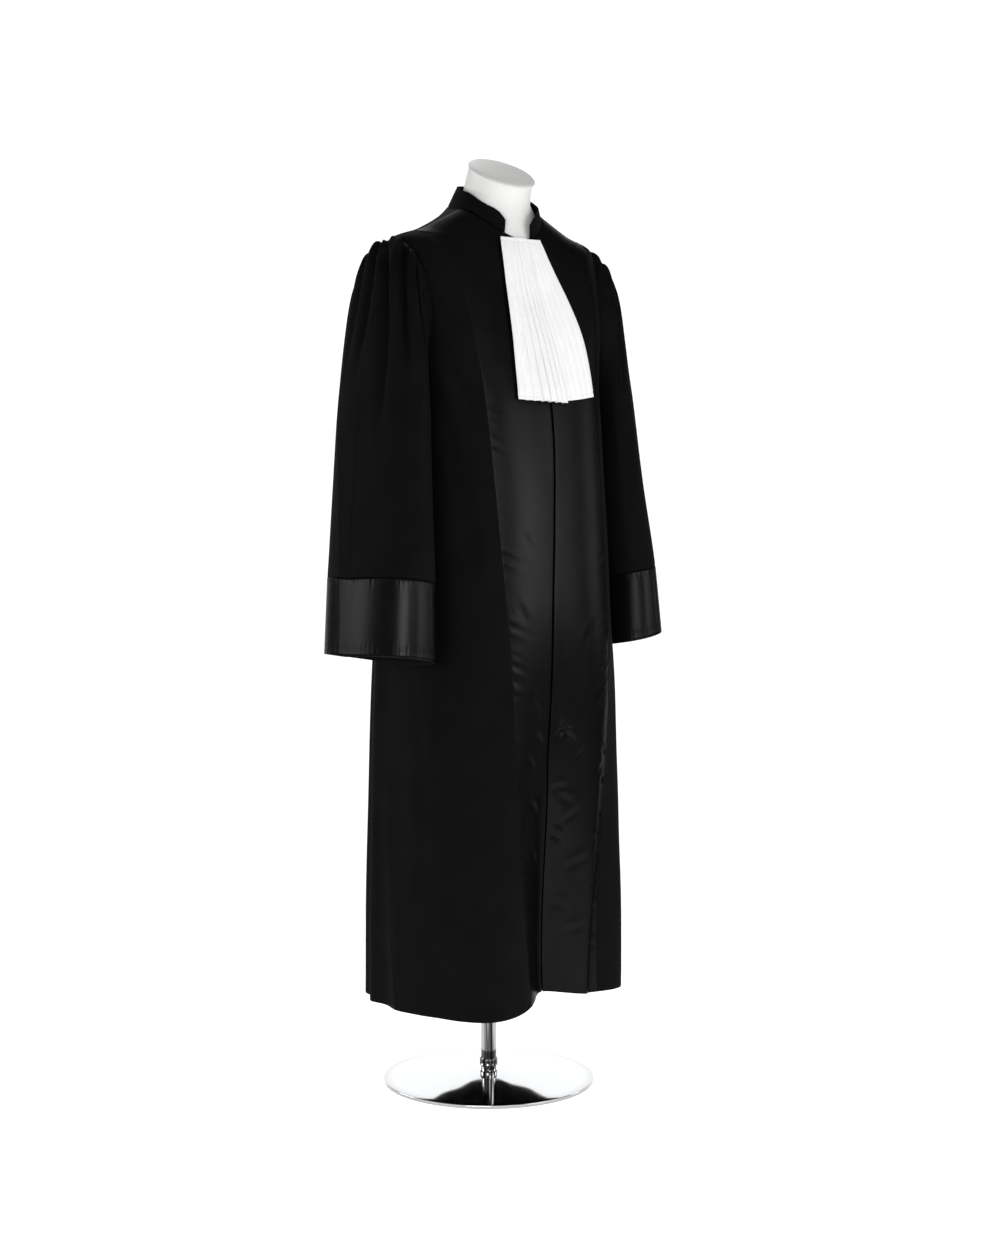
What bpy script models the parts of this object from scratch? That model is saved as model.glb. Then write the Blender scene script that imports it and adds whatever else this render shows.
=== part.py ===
"""A judicial robe on a limbless dress form, which stands on a pole and a round base.

Metres, +Z up. The origin is the centre of the base's underside. The wearer faces -Y,
so the wearer's right side is -X. Each piece of cloth is a closed wall between an outer
and an inner skin. The body of the robe is one surface, and its panels are parts of it.
"""

import math

import bmesh
import bpy
import numpy as np
from mathutils import Vector

WALL = 0.002                # thickness of the wool and satin, hems included
SEAM = 0.0003               # gap between two pieces that are sewn together

# The robe's body, one row a ring, from the hem to the neckline. Over the shoulders a
# ring is lower in front and behind than at the sides.
BODY_COLUMNS = ("level", "side_z", "front_z", "back_z", "half_width", "front_depth",
                "back_depth", "middle_x", "middle_y", "squareness")
BODY_RINGS = (
    (0.00, 0.158, 0.158, 0.158, 0.210, 0.190, 0.225, 0.012, -0.012, 2.40),
    (0.20, 0.438, 0.438, 0.438, 0.207, 0.186, 0.218, 0.012, -0.010, 2.45),
    (0.40, 0.718, 0.718, 0.718, 0.202, 0.182, 0.208, 0.011, -0.010, 2.50),
    (0.60, 0.998, 0.998, 0.998, 0.193, 0.175, 0.188, 0.008, -0.008, 2.50),
    (0.76, 1.222, 1.203, 1.228, 0.189, 0.160, 0.152, 0.003, -0.006, 2.50),
    (0.83, 1.378, 1.303, 1.333, 0.206, 0.141, 0.130, 0.000, -0.004, 2.55),
    (0.90, 1.493, 1.390, 1.428, 0.202, 0.117, 0.108, 0.000, -0.005, 2.25),
    (0.95, 1.519, 1.446, 1.503, 0.145, 0.101, 0.092, 0.000, -0.012, 2.05),
    (1.00, 1.553, 1.498, 1.568, 0.079, 0.080, 0.098, 0.000, -0.024, 2.00),
)

# Angles round the body are in degrees: 0 in front, 90 at the wearer's left side, 180
# behind and -90 at the wearer's right side.
FRONT_LINE_COLUMNS = ("level", "right_seam", "opening", "left_seam")
FRONT_LINES = (
    (0.00, -14.0, 12.5, 54.0),
    (0.13, -20.0, 8.0, 51.0),
    (0.25, -24.0, 2.5, 49.0),
    (0.34, -26.5, -2.0, 46.0),
    (0.47, -29.5, -3.0, 42.5),
    (0.61, -34.0, 0.0, 42.5),
    (0.76, -39.0, 4.0, 48.0),
    (0.83, -45.0, 4.0, 54.0),
    (0.90, -60.0, 3.0, 64.0),
    (0.92, -67.0, 2.5, 69.0),
    (0.93, -78.0, 2.0, 78.0),
    (0.935, -90.0, 2.0, 90.0),
    (1.00, -90.0, 0.0, 90.0),
)
SEAM_MEETS_SHOULDER = 0.935     # level where a satin seam runs into the shoulder seam
TOP_LEVEL = 0.9999              # the neckline's edge, a seam's gap below the collar
SIDE_COLUMNS = ("level", "swing")
SIDE_LINES = (
    (0.00, 1.0),
    (0.06, 5.0),
    (0.15, 12.0),
    (0.23, 17.0),
    (0.34, 20.0),
    (0.50, 16.0),
    (0.66, 6.0),
    (0.76, 0.0),
)                               # how far behind the side each side seam hangs
OPENING_GAP = 0.0012            # half the gap between the two front edges
HEM_RISE = 0.020                # the hem is this much higher at the front opening
HEM_RISE_WIDTH = 30.0           # degrees on each side of the opening
HEM_RISE_FADE = 0.30            # level where the rise has gone

# Folds of the body: how far each stands out at the hem (a valley is below zero), its
# half width in degrees, and the level where it has faded away.
FOLD_COLUMNS = ("hem_angle", "top_angle", "depth", "width", "fade_level")
BODY_FOLDS = (
    (12.0, -3.0, -0.088, 30.0, 0.52),
    (-37.0, -40.0, 0.012, 12.0, 0.60),
    (-66.0, -64.0, -0.007, 10.0, 0.55),
    (50.0, 46.0, -0.030, 9.0, 0.50),
    (70.0, 64.0, 0.022, 11.0, 0.60),
    (-91.0, -112.0, 0.007, 7.0, 0.44),
    (92.0, 112.0, 0.007, 7.0, 0.44),
    (110.0, 116.0, 0.014, 6.0, 0.84),
    (127.0, 129.0, 0.017, 6.5, 0.90),
    (142.0, 142.0, 0.013, 6.0, 0.88),
    (157.0, 154.0, 0.018, 6.5, 0.92),
    (172.0, 168.0, 0.014, 6.0, 0.90),
    (187.0, 182.0, 0.018, 6.5, 0.93),
    (201.0, 196.0, 0.013, 6.0, 0.88),
    (215.0, 208.0, 0.021, 7.0, 0.91),
    (231.0, 228.0, 0.013, 6.0, 0.88),
    (247.0, 243.0, 0.015, 6.0, 0.84),
)

# The armhole is an oval round the side line, from the armpit to the shoulder's tip.
ARMPIT = 0.76
SHOULDER_TIP = 0.90
ARMHOLE_HALF_ANGLE = 25.0
ARMHOLE_ROUNDNESS = 0.60
ARMHOLE_STEPS = (0.08, 0.27, 0.50, 0.73, 0.92)
SKIRT_LEVELS = (0.0, 0.05, 0.13, 0.22, 0.32, 0.43, 0.54, 0.66)
YOKE_LEVELS = (0.911, 0.922, 0.930, SEAM_MEETS_SHOULDER, 0.958, 0.98, 1.0)

SHORT_OF_SHOULDER = 0.003       # how far below that seam the fronts' last row lies
SHARP = math.radians(50.0)      # edges that turn further than this are drawn sharp
ANGLE_STEP = 0.2                # steps for working out a surface's slope
LEVEL_STEP = 0.002
SLOPE_MARGIN = 0.004            # slopes are taken this far inside the surface's ends

BACK_COLUMNS_OF_FACES = 40
FRONT_COLUMNS_OF_FACES = 12
BAND_COLUMNS_OF_FACES = 6

# A sleeve, one row a ring, from its head to its cuff: level, x and z of its outer side,
# x and z of its side against the body, y of its middle, and half its depth. A gather's
# row is like a body fold's, with angles round the sleeve: 0 on the outer side, 90 in
# front, 180 against the body and 270 behind.
RIGHT_SLEEVE_RINGS = (
    (0.07, -0.213, 1.495, -0.194, 1.200, -0.006, 0.096),
    (0.15, -0.234, 1.465, -0.195, 1.168, -0.012, 0.106),
    (0.28, -0.258, 1.378, -0.195, 1.113, -0.020, 0.114),
    (0.46, -0.283, 1.248, -0.195, 1.038, -0.027, 0.120),
    (0.64, -0.302, 1.098, -0.195, 0.963, -0.034, 0.125),
    (0.82, -0.320, 0.922, -0.195, 0.903, -0.042, 0.129),
    (1.00, -0.330, 0.789, -0.195, 0.775, -0.046, 0.132),
)
LEFT_SLEEVE_RINGS = (
    (0.07, 0.211, 1.492, 0.198, 1.200, 0.002, 0.095),
    (0.15, 0.226, 1.462, 0.201, 1.168, 0.006, 0.104),
    (0.28, 0.243, 1.376, 0.203, 1.113, 0.010, 0.112),
    (0.46, 0.270, 1.248, 0.205, 1.038, 0.011, 0.118),
    (0.64, 0.294, 1.098, 0.209, 0.963, 0.008, 0.121),
    (0.82, 0.320, 0.922, 0.214, 0.903, 0.002, 0.126),
    (1.00, 0.334, 0.789, 0.217, 0.775, 0.000, 0.130),
)
SLEEVE_SQUARENESS = 2.3
SLEEVE_FOLD_COLUMNS = ("head_angle", "cuff_angle", "depth", "width", "peak", "fade")
SLEEVE_FOLDS = (
    (-76.0, -92.0, 0.008, 8.0, 0.14, 0.60),
    (-54.0, -66.0, 0.009, 7.0, 0.12, 0.48),
    (-34.0, -40.0, 0.009, 7.0, 0.11, 0.56),
    (-16.0, -18.0, 0.008, 6.5, 0.10, 0.42),
    (2.0, 3.0, 0.009, 6.5, 0.10, 0.52),
    (19.0, 26.0, 0.008, 6.5, 0.10, 0.44),
    (36.0, 48.0, 0.010, 7.0, 0.11, 0.74),
    (54.0, 70.0, 0.010, 7.0, 0.12, 0.60),
    (75.0, 92.0, 0.009, 8.0, 0.14, 0.80),
)
SLEEVE_LEVELS = (0.0, 0.035, 0.07, 0.11, 0.15, 0.21, 0.28, 0.37, 0.46, 0.55, 0.67)
CUFF_SEAM = 0.82
CUFF_GAP = 0.0004           # half the gap at the cuff's seam, as a share of the sleeve
CUFF_LEVELS = (0.88, 0.94)
SLEEVE_PARTS_PER_ARMHOLE_EDGE = 3

# The stand collar, from the neckline to its top ring.
COLLAR_TOP = dict(side_z=1.587, front_z=1.534, back_z=1.605, half_width=0.067,
                  front_depth=0.076, back_depth=0.082, middle_y=-0.030)
COLLAR_LIFT = 0.0010        # gap under the collar
COLLAR_OPENING = 26.0       # degrees on each side of the front that stay open
COLLAR_COLUMNS_OF_FACES = 26
COLLAR_CORNER = 0.35        # share of the height that the rounded front corners lose
COLLAR_CORNER_COLUMNS = 2.0
COLLAR_SHARES = (0.0, 0.35, 0.70, 1.0)

# The jabot: a pleated fall on the fronts, one row a height.
JABOT_COLUMNS = ("share", "level", "right_edge", "left_edge")
JABOT_ROWS = (
    (0.00, 1.000, -33.0, 25.0),
    (0.20, 0.945, -31.0, 29.0),
    (0.45, 0.880, -27.5, 34.0),
    (0.70, 0.825, -24.0, 38.5),
    (1.00, 0.771, -21.0, 41.0),
)
JABOT_WALL = 0.0013
JABOT_CLEAR = 0.0009        # air between the fronts and the jabot's back
JABOT_PLEATS = 12
JABOT_PLEAT_SHAPE = ((0.0, 0.0), (0.25, 0.95), (0.75, 0.6))
JABOT_PLEAT_TOP = 0.0015
JABOT_PLEAT_BOTTOM = 0.0045
JABOT_ROWS_OF_FACES = 7
JABOT_BOX_PLEAT = 0.56      # share of the width where the upper layer ends
JABOT_LAYER = 0.0025        # how far the upper layer stands out past the lower one

# The dress form inside the robe, and its stand.
FORM_INSET_COLUMNS = ("level", "inset")
FORM_INSETS = (
    (0.40, 0.055),
    (0.50, 0.048),
    (0.62, 0.058),
    (0.76, 0.030),
    (0.82, 0.014),
    (0.88, 0.006),
    (0.92, 0.0048),
    (0.950, 0.0052),
    (0.978, 0.0028),
    (1.00, 0.0060),
)
FORM_FRONT_EASE = 0.0015    # extra air in front, where the cloth hangs free
FORM_BOTTOM_EDGE = 0.012    # height of the slope round the form's underside
FORM_BOTTOM_SHARE = 0.86    # the underside's width over the form's
FORM_SKIRT_LEVELS = (0.42, 0.46, 0.54, 0.62, 0.70)
FORM_SIDES = 44
FORM_FLATNESS = 0.55        # depth over width of the shoulders, which spaces the corners
# The neck above the robe, one row a ring: height and y of its middle, radius and tilt.
NECK_RINGS = (
    (1.570, -0.022, 0.0570, 10.0),
    (1.596, -0.030, 0.0565, 20.0),
    (1.615, -0.039, 0.0590, 28.0),
)
CAP_RADIUS = 0.0605
CAP_EDGE = 0.0035
CAP_RISE = 0.0055
CAP_PROFILE = ((0.45, 0.86), (0.80, 0.45), (0.97, 0.0))

POLE_RADIUS = 0.0135
RING_RADIUS = 0.0160
RING_BOTTOM = 0.027
RING_TOP = 0.040
BASE_RADIUS = 0.190
BASE_EDGE = 0.0065
BASE_BEVEL = 0.0012
BASE_RISE = 0.021
BASE_FLAT = 0.0150          # the base's flat middle, a little wider than the pole
RING_BEVEL = 0.0008
BASE_STEPS = 56
SMALL_STEPS = 32
POLE_SIDES = 32
MERGE = 0.00005

BLACK_WOOL = (0.0065, 0.0065, 0.0070)
BLACK_SATIN = (0.0100, 0.0100, 0.0110)
WHITE_COTTON = (0.80, 0.79, 0.76)
FORM_WHITE = (0.83, 0.82, 0.79)
CAP_GREY = (0.52, 0.52, 0.51)
CHROME = (0.74, 0.75, 0.77)


def empty_scene():
    for item in list(bpy.data.objects):
        bpy.data.objects.remove(item, do_unlink=True)


def material(name, colour, roughness, metallic=0.0):
    made = bpy.data.materials.new(name)
    made.use_nodes = True
    shader = made.node_tree.nodes["Principled BSDF"]
    shader.inputs["Base Color"].default_value = (*colour, 1.0)
    shader.inputs["Roughness"].default_value = roughness
    shader.inputs["Metallic"].default_value = metallic
    return made


def table(columns, rows):
    """Turn rows of numbers into one array for each named column."""
    return dict(zip(columns, np.array(rows, dtype=float).T))


def smooth_value(places, values, at):
    """A smooth curve through (places, values) that never swings past its points."""
    gaps = np.diff(places)
    slopes = np.diff(values) / gaps
    bends = np.zeros(len(values))
    bends[0] = slopes[0]
    bends[-1] = slopes[-1]
    for i in range(1, len(values) - 1):
        if slopes[i - 1] * slopes[i] > 0.0:
            bends[i] = 2.0 * slopes[i - 1] * slopes[i] / (slopes[i - 1] + slopes[i])
    at = np.clip(at, places[0], places[-1])
    i = np.clip(np.searchsorted(places, at, side="right") - 1, 0, len(gaps) - 1)
    t = (at - places[i]) / gaps[i]
    start = (1.0 + 2.0 * t) * (1.0 - t) ** 2 * values[i]
    end = t ** 2 * (3.0 - 2.0 * t) * values[i + 1]
    leave = t * (1.0 - t) ** 2 * gaps[i] * bends[i]
    arrive = t ** 2 * (t - 1.0) * gaps[i] * bends[i + 1]
    return start + end + leave + arrive


def look_up(data, name, level):
    return smooth_value(data["level"], data[name], level)


def ease(value):
    """Rise smoothly from 0 to 1 as value goes from 0 to 1."""
    t = np.clip(value, 0.0, 1.0)
    return t * t * (3.0 - 2.0 * t)


def turn_between(angle, middle):
    """How far angle is from middle, in degrees, the short way round."""
    return (angle - middle + 180.0) % 360.0 - 180.0


BODY = table(BODY_COLUMNS, BODY_RINGS)
LINES = table(FRONT_LINE_COLUMNS, FRONT_LINES)
FOLDS = table(FOLD_COLUMNS, BODY_FOLDS)
GATHERS = table(SLEEVE_FOLD_COLUMNS, SLEEVE_FOLDS)
JABOT = table(JABOT_COLUMNS, JABOT_ROWS)
INSETS = table(FORM_INSET_COLUMNS, FORM_INSETS)
SIDES = table(SIDE_COLUMNS, SIDE_LINES)


def oval_radius(angle, half_width, front_depth, back_depth, squareness):
    across = np.sin(np.radians(angle))
    ahead = np.cos(np.radians(angle))
    depth = np.where(ahead > 0.0, front_depth, back_depth)
    total = np.abs(across / half_width) ** squareness
    total = total + np.abs(ahead / depth) ** squareness
    return total ** (-1.0 / squareness)


def body_fold_height(angle, level):
    """How far the folds move the cloth out at a place on the body."""
    height = np.zeros(np.broadcast(angle, level).shape)
    for i in range(len(FOLDS["depth"])):
        share = np.clip(level / FOLDS["fade_level"][i], 0.0, 1.0)
        middle = FOLDS["hem_angle"][i] * (1.0 - share) + FOLDS["top_angle"][i] * share
        near = np.exp(-(turn_between(angle, middle) / FOLDS["width"][i]) ** 2)
        height += FOLDS["depth"][i] * near * (1.0 - ease(share))
    return height


def body_point(angle, level, folded=True):
    """A point of the robe's outer skin."""
    angle, level = np.broadcast_arrays(angle, level)
    radius = oval_radius(angle, look_up(BODY, "half_width", level),
                         look_up(BODY, "front_depth", level),
                         look_up(BODY, "back_depth", level),
                         look_up(BODY, "squareness", level))
    if folded:
        radius = radius + body_fold_height(angle, level)
    across = np.sin(np.radians(angle))
    ahead = np.cos(np.radians(angle))
    end_z = np.where(ahead > 0.0, look_up(BODY, "front_z", level),
                     look_up(BODY, "back_z", level))
    height = look_up(BODY, "side_z", level) * across ** 2 + end_z * ahead ** 2
    opening = look_up(LINES, "opening", level)
    near_opening = np.exp(-(turn_between(angle, opening) / HEM_RISE_WIDTH) ** 2)
    height = height + HEM_RISE * near_opening * (1.0 - ease(level / HEM_RISE_FADE))
    x = look_up(BODY, "middle_x", level) + radius * across
    y = look_up(BODY, "middle_y", level) - radius * ahead
    return np.stack([x, y, height], axis=-1)


def unit(vectors):
    return vectors / np.linalg.norm(vectors, axis=-1, keepdims=True)


def outward(surface, first, second, first_step, second_step):
    """Directions at right angles to a surface that is given as a function."""
    along = surface(first + first_step, second) - surface(first - first_step, second)
    up = surface(first, second + second_step) - surface(first, second - second_step)
    return unit(np.cross(along, up))


def body_normal(angle, level):
    inside = np.clip(level, SLOPE_MARGIN, 1.0 - SLOPE_MARGIN)
    return outward(body_point, angle, inside, ANGLE_STEP, LEVEL_STEP)


def plain_body_point(angle, level):
    """A point of the robe's body as it would be without any fold."""
    return body_point(angle, level, folded=False)


def armhole_half_angle(level):
    share = np.clip((level - ARMPIT) / (SHOULDER_TIP - ARMPIT), 0.0, 1.0)
    return ARMHOLE_HALF_ANGLE * np.sin(math.pi * share) ** ARMHOLE_ROUNDNESS


def body_levels():
    """The rows of all the body's panels, so that they meet row by row."""
    hole = [ARMPIT + (SHOULDER_TIP - ARMPIT) * step for step in ARMHOLE_STEPS]
    return np.array([*SKIRT_LEVELS, ARMPIT, *hole, SHOULDER_TIP, *YOKE_LEVELS])


def add_body(name, vertices, faces, collection, finish):
    """Make one mesh object whose faces all point out."""
    mesh = bpy.data.meshes.new(name)
    shape = bmesh.new()
    corners = [shape.verts.new(Vector(point)) for point in vertices]
    for face in faces:
        shape.faces.new([corners[i] for i in face])
    bmesh.ops.recalc_face_normals(shape, faces=shape.faces)
    if shape.calc_volume(signed=True) < 0.0:
        bmesh.ops.reverse_faces(shape, faces=shape.faces)
    bmesh.ops.triangulate(shape, faces=shape.faces)
    shape.to_mesh(mesh)
    shape.free()
    mesh.shade_smooth()
    mesh.set_sharp_from_angle(angle=SHARP)
    mesh.materials.append(finish)
    made = bpy.data.objects.new(name, mesh)
    collection.objects.link(made)
    return made


def wall(name, outer, inner, collection, finish, ring=False):
    """Close two grids of points, rows by columns, into one wall of cloth."""
    rows, columns = outer.shape[:2]
    count = rows * columns
    vertices = np.concatenate([outer.reshape(-1, 3), inner.reshape(-1, 3)])
    steps = columns if ring else columns - 1
    faces = []
    for row in range(rows - 1):
        for step in range(steps):
            a = row * columns + step
            b = row * columns + (step + 1) % columns
            c = b + columns
            d = a + columns
            faces.append((a, b, c, d))
            faces.append((count + d, count + c, count + b, count + a))
    for step in range(steps):
        a = step
        b = (step + 1) % columns
        faces.append((b, a, count + a, count + b))
        top = (rows - 1) * columns
        faces.append((top + a, top + b, count + top + b, count + top + a))
    if not ring:
        for row in range(rows - 1):
            a = row * columns
            b = a + columns
            faces.append((a, b, count + b, count + a))
            a = a + columns - 1
            b = b + columns - 1
            faces.append((b, a, count + a, count + b))
    return add_body(name, vertices, faces, collection, finish)


def loft(name, rings, collection, finish):
    """Close a stack of rings, each with the same number of points, into one body."""
    count = len(rings[0])
    vertices = np.concatenate(rings)
    faces = [tuple(range(count))]
    for row in range(len(rings) - 1):
        for step in range(count):
            a = row * count + step
            b = row * count + (step + 1) % count
            faces.append((a, b, b + count, a + count))
    last = (len(rings) - 1) * count
    faces.append(tuple(range(last + count - 1, last - 1, -1)))
    return add_body(name, vertices, faces, collection, finish)


def turned(name, profile, steps, place, tilt, collection, finish):
    """Spin a profile, given from its top to its bottom at +X, round the Z axis."""
    mesh = bpy.data.meshes.new(name)
    closed = profile[0] == profile[-1]
    count = len(profile) - 1 if closed else len(profile)
    corners = [(radius, 0.0, height) for radius, height in profile[:count]]
    edges = [(i, i + 1) for i in range(count - 1)]
    if closed:
        edges.append((count - 1, 0))
    mesh.from_pydata(corners, edges, [])
    made = bpy.data.objects.new(name, mesh)
    collection.objects.link(made)
    spin = made.modifiers.new("Spin", "SCREW")
    spin.steps = steps
    spin.render_steps = steps
    spin.use_merge_vertices = True
    spin.merge_threshold = MERGE
    spin.use_smooth_shade = True
    mesh.materials.append(finish)
    made.location = place
    made.rotation_euler = (tilt, 0.0, 0.0)
    return made


def seam_turn(angle, level):
    """Degrees to move a seam's edge aside by, so that half its gap lies square to it."""
    here = body_point(angle, level)
    across = body_point(angle + ANGLE_STEP, level) - here
    run = np.gradient(here, axis=0)
    slant = np.linalg.norm(np.cross(unit(run), across), axis=-1) / ANGLE_STEP
    return 0.5 * SEAM / slant


def body_panel(name, start, end, levels, columns, collection, finish):
    """One panel of the robe's body, between two lines that are given as angles."""
    share = np.linspace(0.0, 1.0, columns + 1)[None, :]
    level = np.repeat(np.array(levels)[:, None], columns + 1, axis=1)
    level = np.minimum(level, TOP_LEVEL)
    angle = start[:, None] * (1.0 - share) + end[:, None] * share
    angle[:, 0] += seam_turn(angle[:, 0], level[:, 0])
    angle[:, -1] -= seam_turn(angle[:, -1], level[:, -1])
    outer = body_point(angle, level)
    inner = outer - WALL * body_normal(angle, level)
    return wall(name, outer, inner, collection, finish)


def side_line(level, side, part):
    """The edge that a front or the back has at one side: seam, armhole or shoulder."""
    swing = look_up(SIDES, "swing", level)
    return side * (90.0 + swing + part * armhole_half_angle(level))


def make_body_panels(collection, wool, satin):
    levels = body_levels()
    back_start = side_line(levels, 1.0, 1.0)
    back_end = 360.0 + side_line(levels, -1.0, 1.0)
    body_panel("back", back_start, back_end, levels, BACK_COLUMNS_OF_FACES, collection,
               wool)
    gap = np.degrees(OPENING_GAP / look_up(BODY, "front_depth", levels))
    opening = look_up(LINES, "opening", levels)
    wool_top = SEAM_MEETS_SHOULDER - SHORT_OF_SHOULDER
    wool_levels = np.append(levels[levels < wool_top], wool_top)
    for side, word in ((-1.0, "right"), (1.0, "left")):
        seam = look_up(LINES, word + "_seam", levels)
        band = sorted((seam, opening + side * gap), key=lambda line: line[0])
        body_panel("satin_band_" + word, band[0], band[1], levels,
                   BAND_COLUMNS_OF_FACES, collection, satin)
        edge = side_line(wool_levels, side, -1.0)
        seam = look_up(LINES, word + "_seam", wool_levels)
        front = sorted((seam, edge), key=lambda line: line[0])
        body_panel("front_" + word, front[0], front[1], wool_levels,
                   FRONT_COLUMNS_OF_FACES, collection, wool)


def armhole_ring(side):
    """The armhole's edge as corners, from the shoulder's tip, over the front, down to
    the armpit and up the back, with the directions into the hole and out of the cloth.
    """
    hole = [ARMPIT + (SHOULDER_TIP - ARMPIT) * step for step in ARMHOLE_STEPS]
    falling = np.array([SHOULDER_TIP, *reversed(hole), ARMPIT])
    rising = np.array(hole)
    level = np.concatenate([falling, rising])
    part = np.concatenate([-np.ones(len(falling)), np.ones(len(rising))])
    angle = side * (90.0 + part * armhole_half_angle(level))
    points = body_point(angle, level)
    outside = body_normal(angle, level)
    run = np.roll(points, -1, axis=0) - np.roll(points, 1, axis=0)
    into = unit(np.cross(outside, unit(run)))
    middle = points.mean(axis=0)
    facing = np.sum(into * (middle - points), axis=-1, keepdims=True)
    return points, into * np.sign(facing)


def ring_angles(count):
    return np.arange(count) * 360.0 / count


def sleeve_start(side):
    """The sleeve's first ring: the armhole's edge, a seam's gap further in."""
    points, into = armhole_ring(side)
    corners = points + 0.5 * SEAM * into + 0.5 * SEAM * np.array([side, 0.0, 0.0])
    following = np.roll(corners, -1, axis=0)
    parts = SLEEVE_PARTS_PER_ARMHOLE_EDGE
    start = [corners * (1.0 - i / parts) + following * (i / parts) for i in range(parts)]
    return np.stack(start, axis=1).reshape(-1, 3)


def sleeve_grid(side, rows):
    """The sleeve's plain surface, before its gathers, as a function of the level."""
    start = sleeve_start(side)
    angle = ring_angles(len(start))
    across = np.cos(np.radians(angle))
    ahead = np.sin(np.radians(angle))
    power = 2.0 / SLEEVE_SQUARENESS
    across = np.sign(across) * np.abs(across) ** power
    ahead = np.sign(ahead) * np.abs(ahead) ** power
    rings = [start]
    for row in rows:
        level, outer_x, outer_z, inner_x, inner_z, middle_y, half_depth = row
        x = 0.5 * (outer_x + inner_x) + 0.5 * (outer_x - inner_x) * across
        z = 0.5 * (outer_z + inner_z) + 0.5 * (outer_z - inner_z) * across
        y = middle_y - half_depth * ahead
        rings.append(np.stack([x, y, z], axis=-1))
    places = np.array([0.0] + [row[0] for row in rows])
    stack = np.array(rings)

    def plain(level):
        found = np.empty(stack.shape[1:])
        for corner in range(stack.shape[1]):
            for axis in range(3):
                found[corner, axis] = smooth_value(places, stack[:, corner, axis], level)
        return found

    return plain, angle


def grid_normals(grid, side):
    """Outward directions on a tube of points, levels by corners."""
    around = np.roll(grid, -1, axis=1) - np.roll(grid, 1, axis=1)
    along = np.gradient(grid, axis=0)
    return unit(np.cross(along, around)) * -side


def gather_height(angle, level):
    height = np.zeros(len(angle))
    for i in range(len(GATHERS["depth"])):
        share = min(level, 1.0)
        middle = GATHERS["head_angle"][i] * (1.0 - share) + GATHERS["cuff_angle"][i] * share
        near = np.exp(-(turn_between(angle, middle) / GATHERS["width"][i]) ** 2)
        rise = ease(level / GATHERS["peak"][i])
        past = (level - GATHERS["peak"][i]) / (GATHERS["fade"][i] - GATHERS["peak"][i])
        height += GATHERS["depth"][i] * near * rise * (1.0 - ease(past))
    return height


def sleeve_skins(side, rows, levels):
    """Outer and inner skins of a stretch of sleeve, worked out on all of its levels."""
    plain, angle = sleeve_grid(side, rows)
    grid = np.array([plain(level) for level in levels])
    normals = grid_normals(grid, side)
    heights = np.array([gather_height(angle, level) for level in levels])
    outer = grid + normals * heights[:, :, None]
    inner = outer - WALL * grid_normals(outer, side)
    return outer, inner


def make_sleeves(collection, wool, satin):
    for side, word, rows in ((-1.0, "right", RIGHT_SLEEVE_RINGS),
                             (1.0, "left", LEFT_SLEEVE_RINGS)):
        levels = [*SLEEVE_LEVELS, CUFF_SEAM - CUFF_GAP, CUFF_SEAM + CUFF_GAP,
                  *CUFF_LEVELS, 1.0]
        outer, inner = sleeve_skins(side, rows, levels)
        cut = len(SLEEVE_LEVELS) + 1
        wall("sleeve_" + word, outer[:cut], inner[:cut], collection, wool, ring=True)
        wall("cuff_" + word, outer[cut:], inner[cut:], collection, satin, ring=True)


def collar_point(angle, share):
    """A point on the collar's outer skin, from its seam (0) to its top edge (1)."""
    foot = body_point(angle, 1.0)
    foot = foot + np.array([0.0, 0.0, COLLAR_LIFT])
    radius = oval_radius(angle, COLLAR_TOP["half_width"], COLLAR_TOP["front_depth"],
                         COLLAR_TOP["back_depth"], 2.0)
    across = np.sin(np.radians(angle))
    ahead = np.cos(np.radians(angle))
    end_z = np.where(ahead > 0.0, COLLAR_TOP["front_z"], COLLAR_TOP["back_z"])
    top = np.stack([radius * across, COLLAR_TOP["middle_y"] - radius * ahead,
                    COLLAR_TOP["side_z"] * across ** 2 + end_z * ahead ** 2], axis=-1)
    share = np.broadcast_to(share, angle.shape)[..., None]
    return foot * (1.0 - share) + top * share


def make_collar(collection, wool):
    angle = np.linspace(COLLAR_OPENING, 360.0 - COLLAR_OPENING,
                        COLLAR_COLUMNS_OF_FACES + 1)
    ends = np.minimum(np.arange(len(angle)), np.arange(len(angle))[::-1])
    corner = COLLAR_CORNER * np.clip(1.0 - ends / COLLAR_CORNER_COLUMNS, 0.0, 1.0) ** 2
    angle = np.repeat(angle[None, :], len(COLLAR_SHARES), axis=0)
    share = np.array(COLLAR_SHARES)[:, None] * (1.0 - corner)[None, :]
    outer = collar_point(angle, share)
    out = outward(collar_point, angle, share, ANGLE_STEP, LEVEL_STEP)
    wall("collar", outer, outer - WALL * out, collection, wool)


def make_jabot(collection, cotton):
    """The jabot's back follows the fronts, and its pleats stand out from there."""
    share = np.linspace(0.0, 1.0, JABOT_ROWS_OF_FACES + 1)
    level = smooth_value(JABOT["share"], JABOT["level"], share)
    right = smooth_value(JABOT["share"], JABOT["right_edge"], share)
    left = smooth_value(JABOT["share"], JABOT["left_edge"], share)
    places = []
    heights = []
    for pleat in range(JABOT_PLEATS):
        for step, height in JABOT_PLEAT_SHAPE:
            places.append((pleat + step) / JABOT_PLEATS)
            heights.append(height)
    places = np.array(places + [1.0])
    heights = np.array(heights + [0.0])
    layer = JABOT_LAYER * (1.0 - ease((places - JABOT_BOX_PLEAT) * JABOT_PLEATS))
    angle = right[:, None] * (1.0 - places) + left[:, None] * places
    level = np.repeat(level[:, None], len(places), axis=1)
    depth = JABOT_PLEAT_TOP + (JABOT_PLEAT_BOTTOM - JABOT_PLEAT_TOP) * share[:, None]
    skin = body_point(angle, level)
    out = body_normal(angle, level)
    back = JABOT_CLEAR + layer + depth * heights
    inner = skin + out * back[..., None]
    outer = skin + out * (back + JABOT_WALL)[..., None]
    wall("jabot", outer, inner, collection, cotton)


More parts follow.
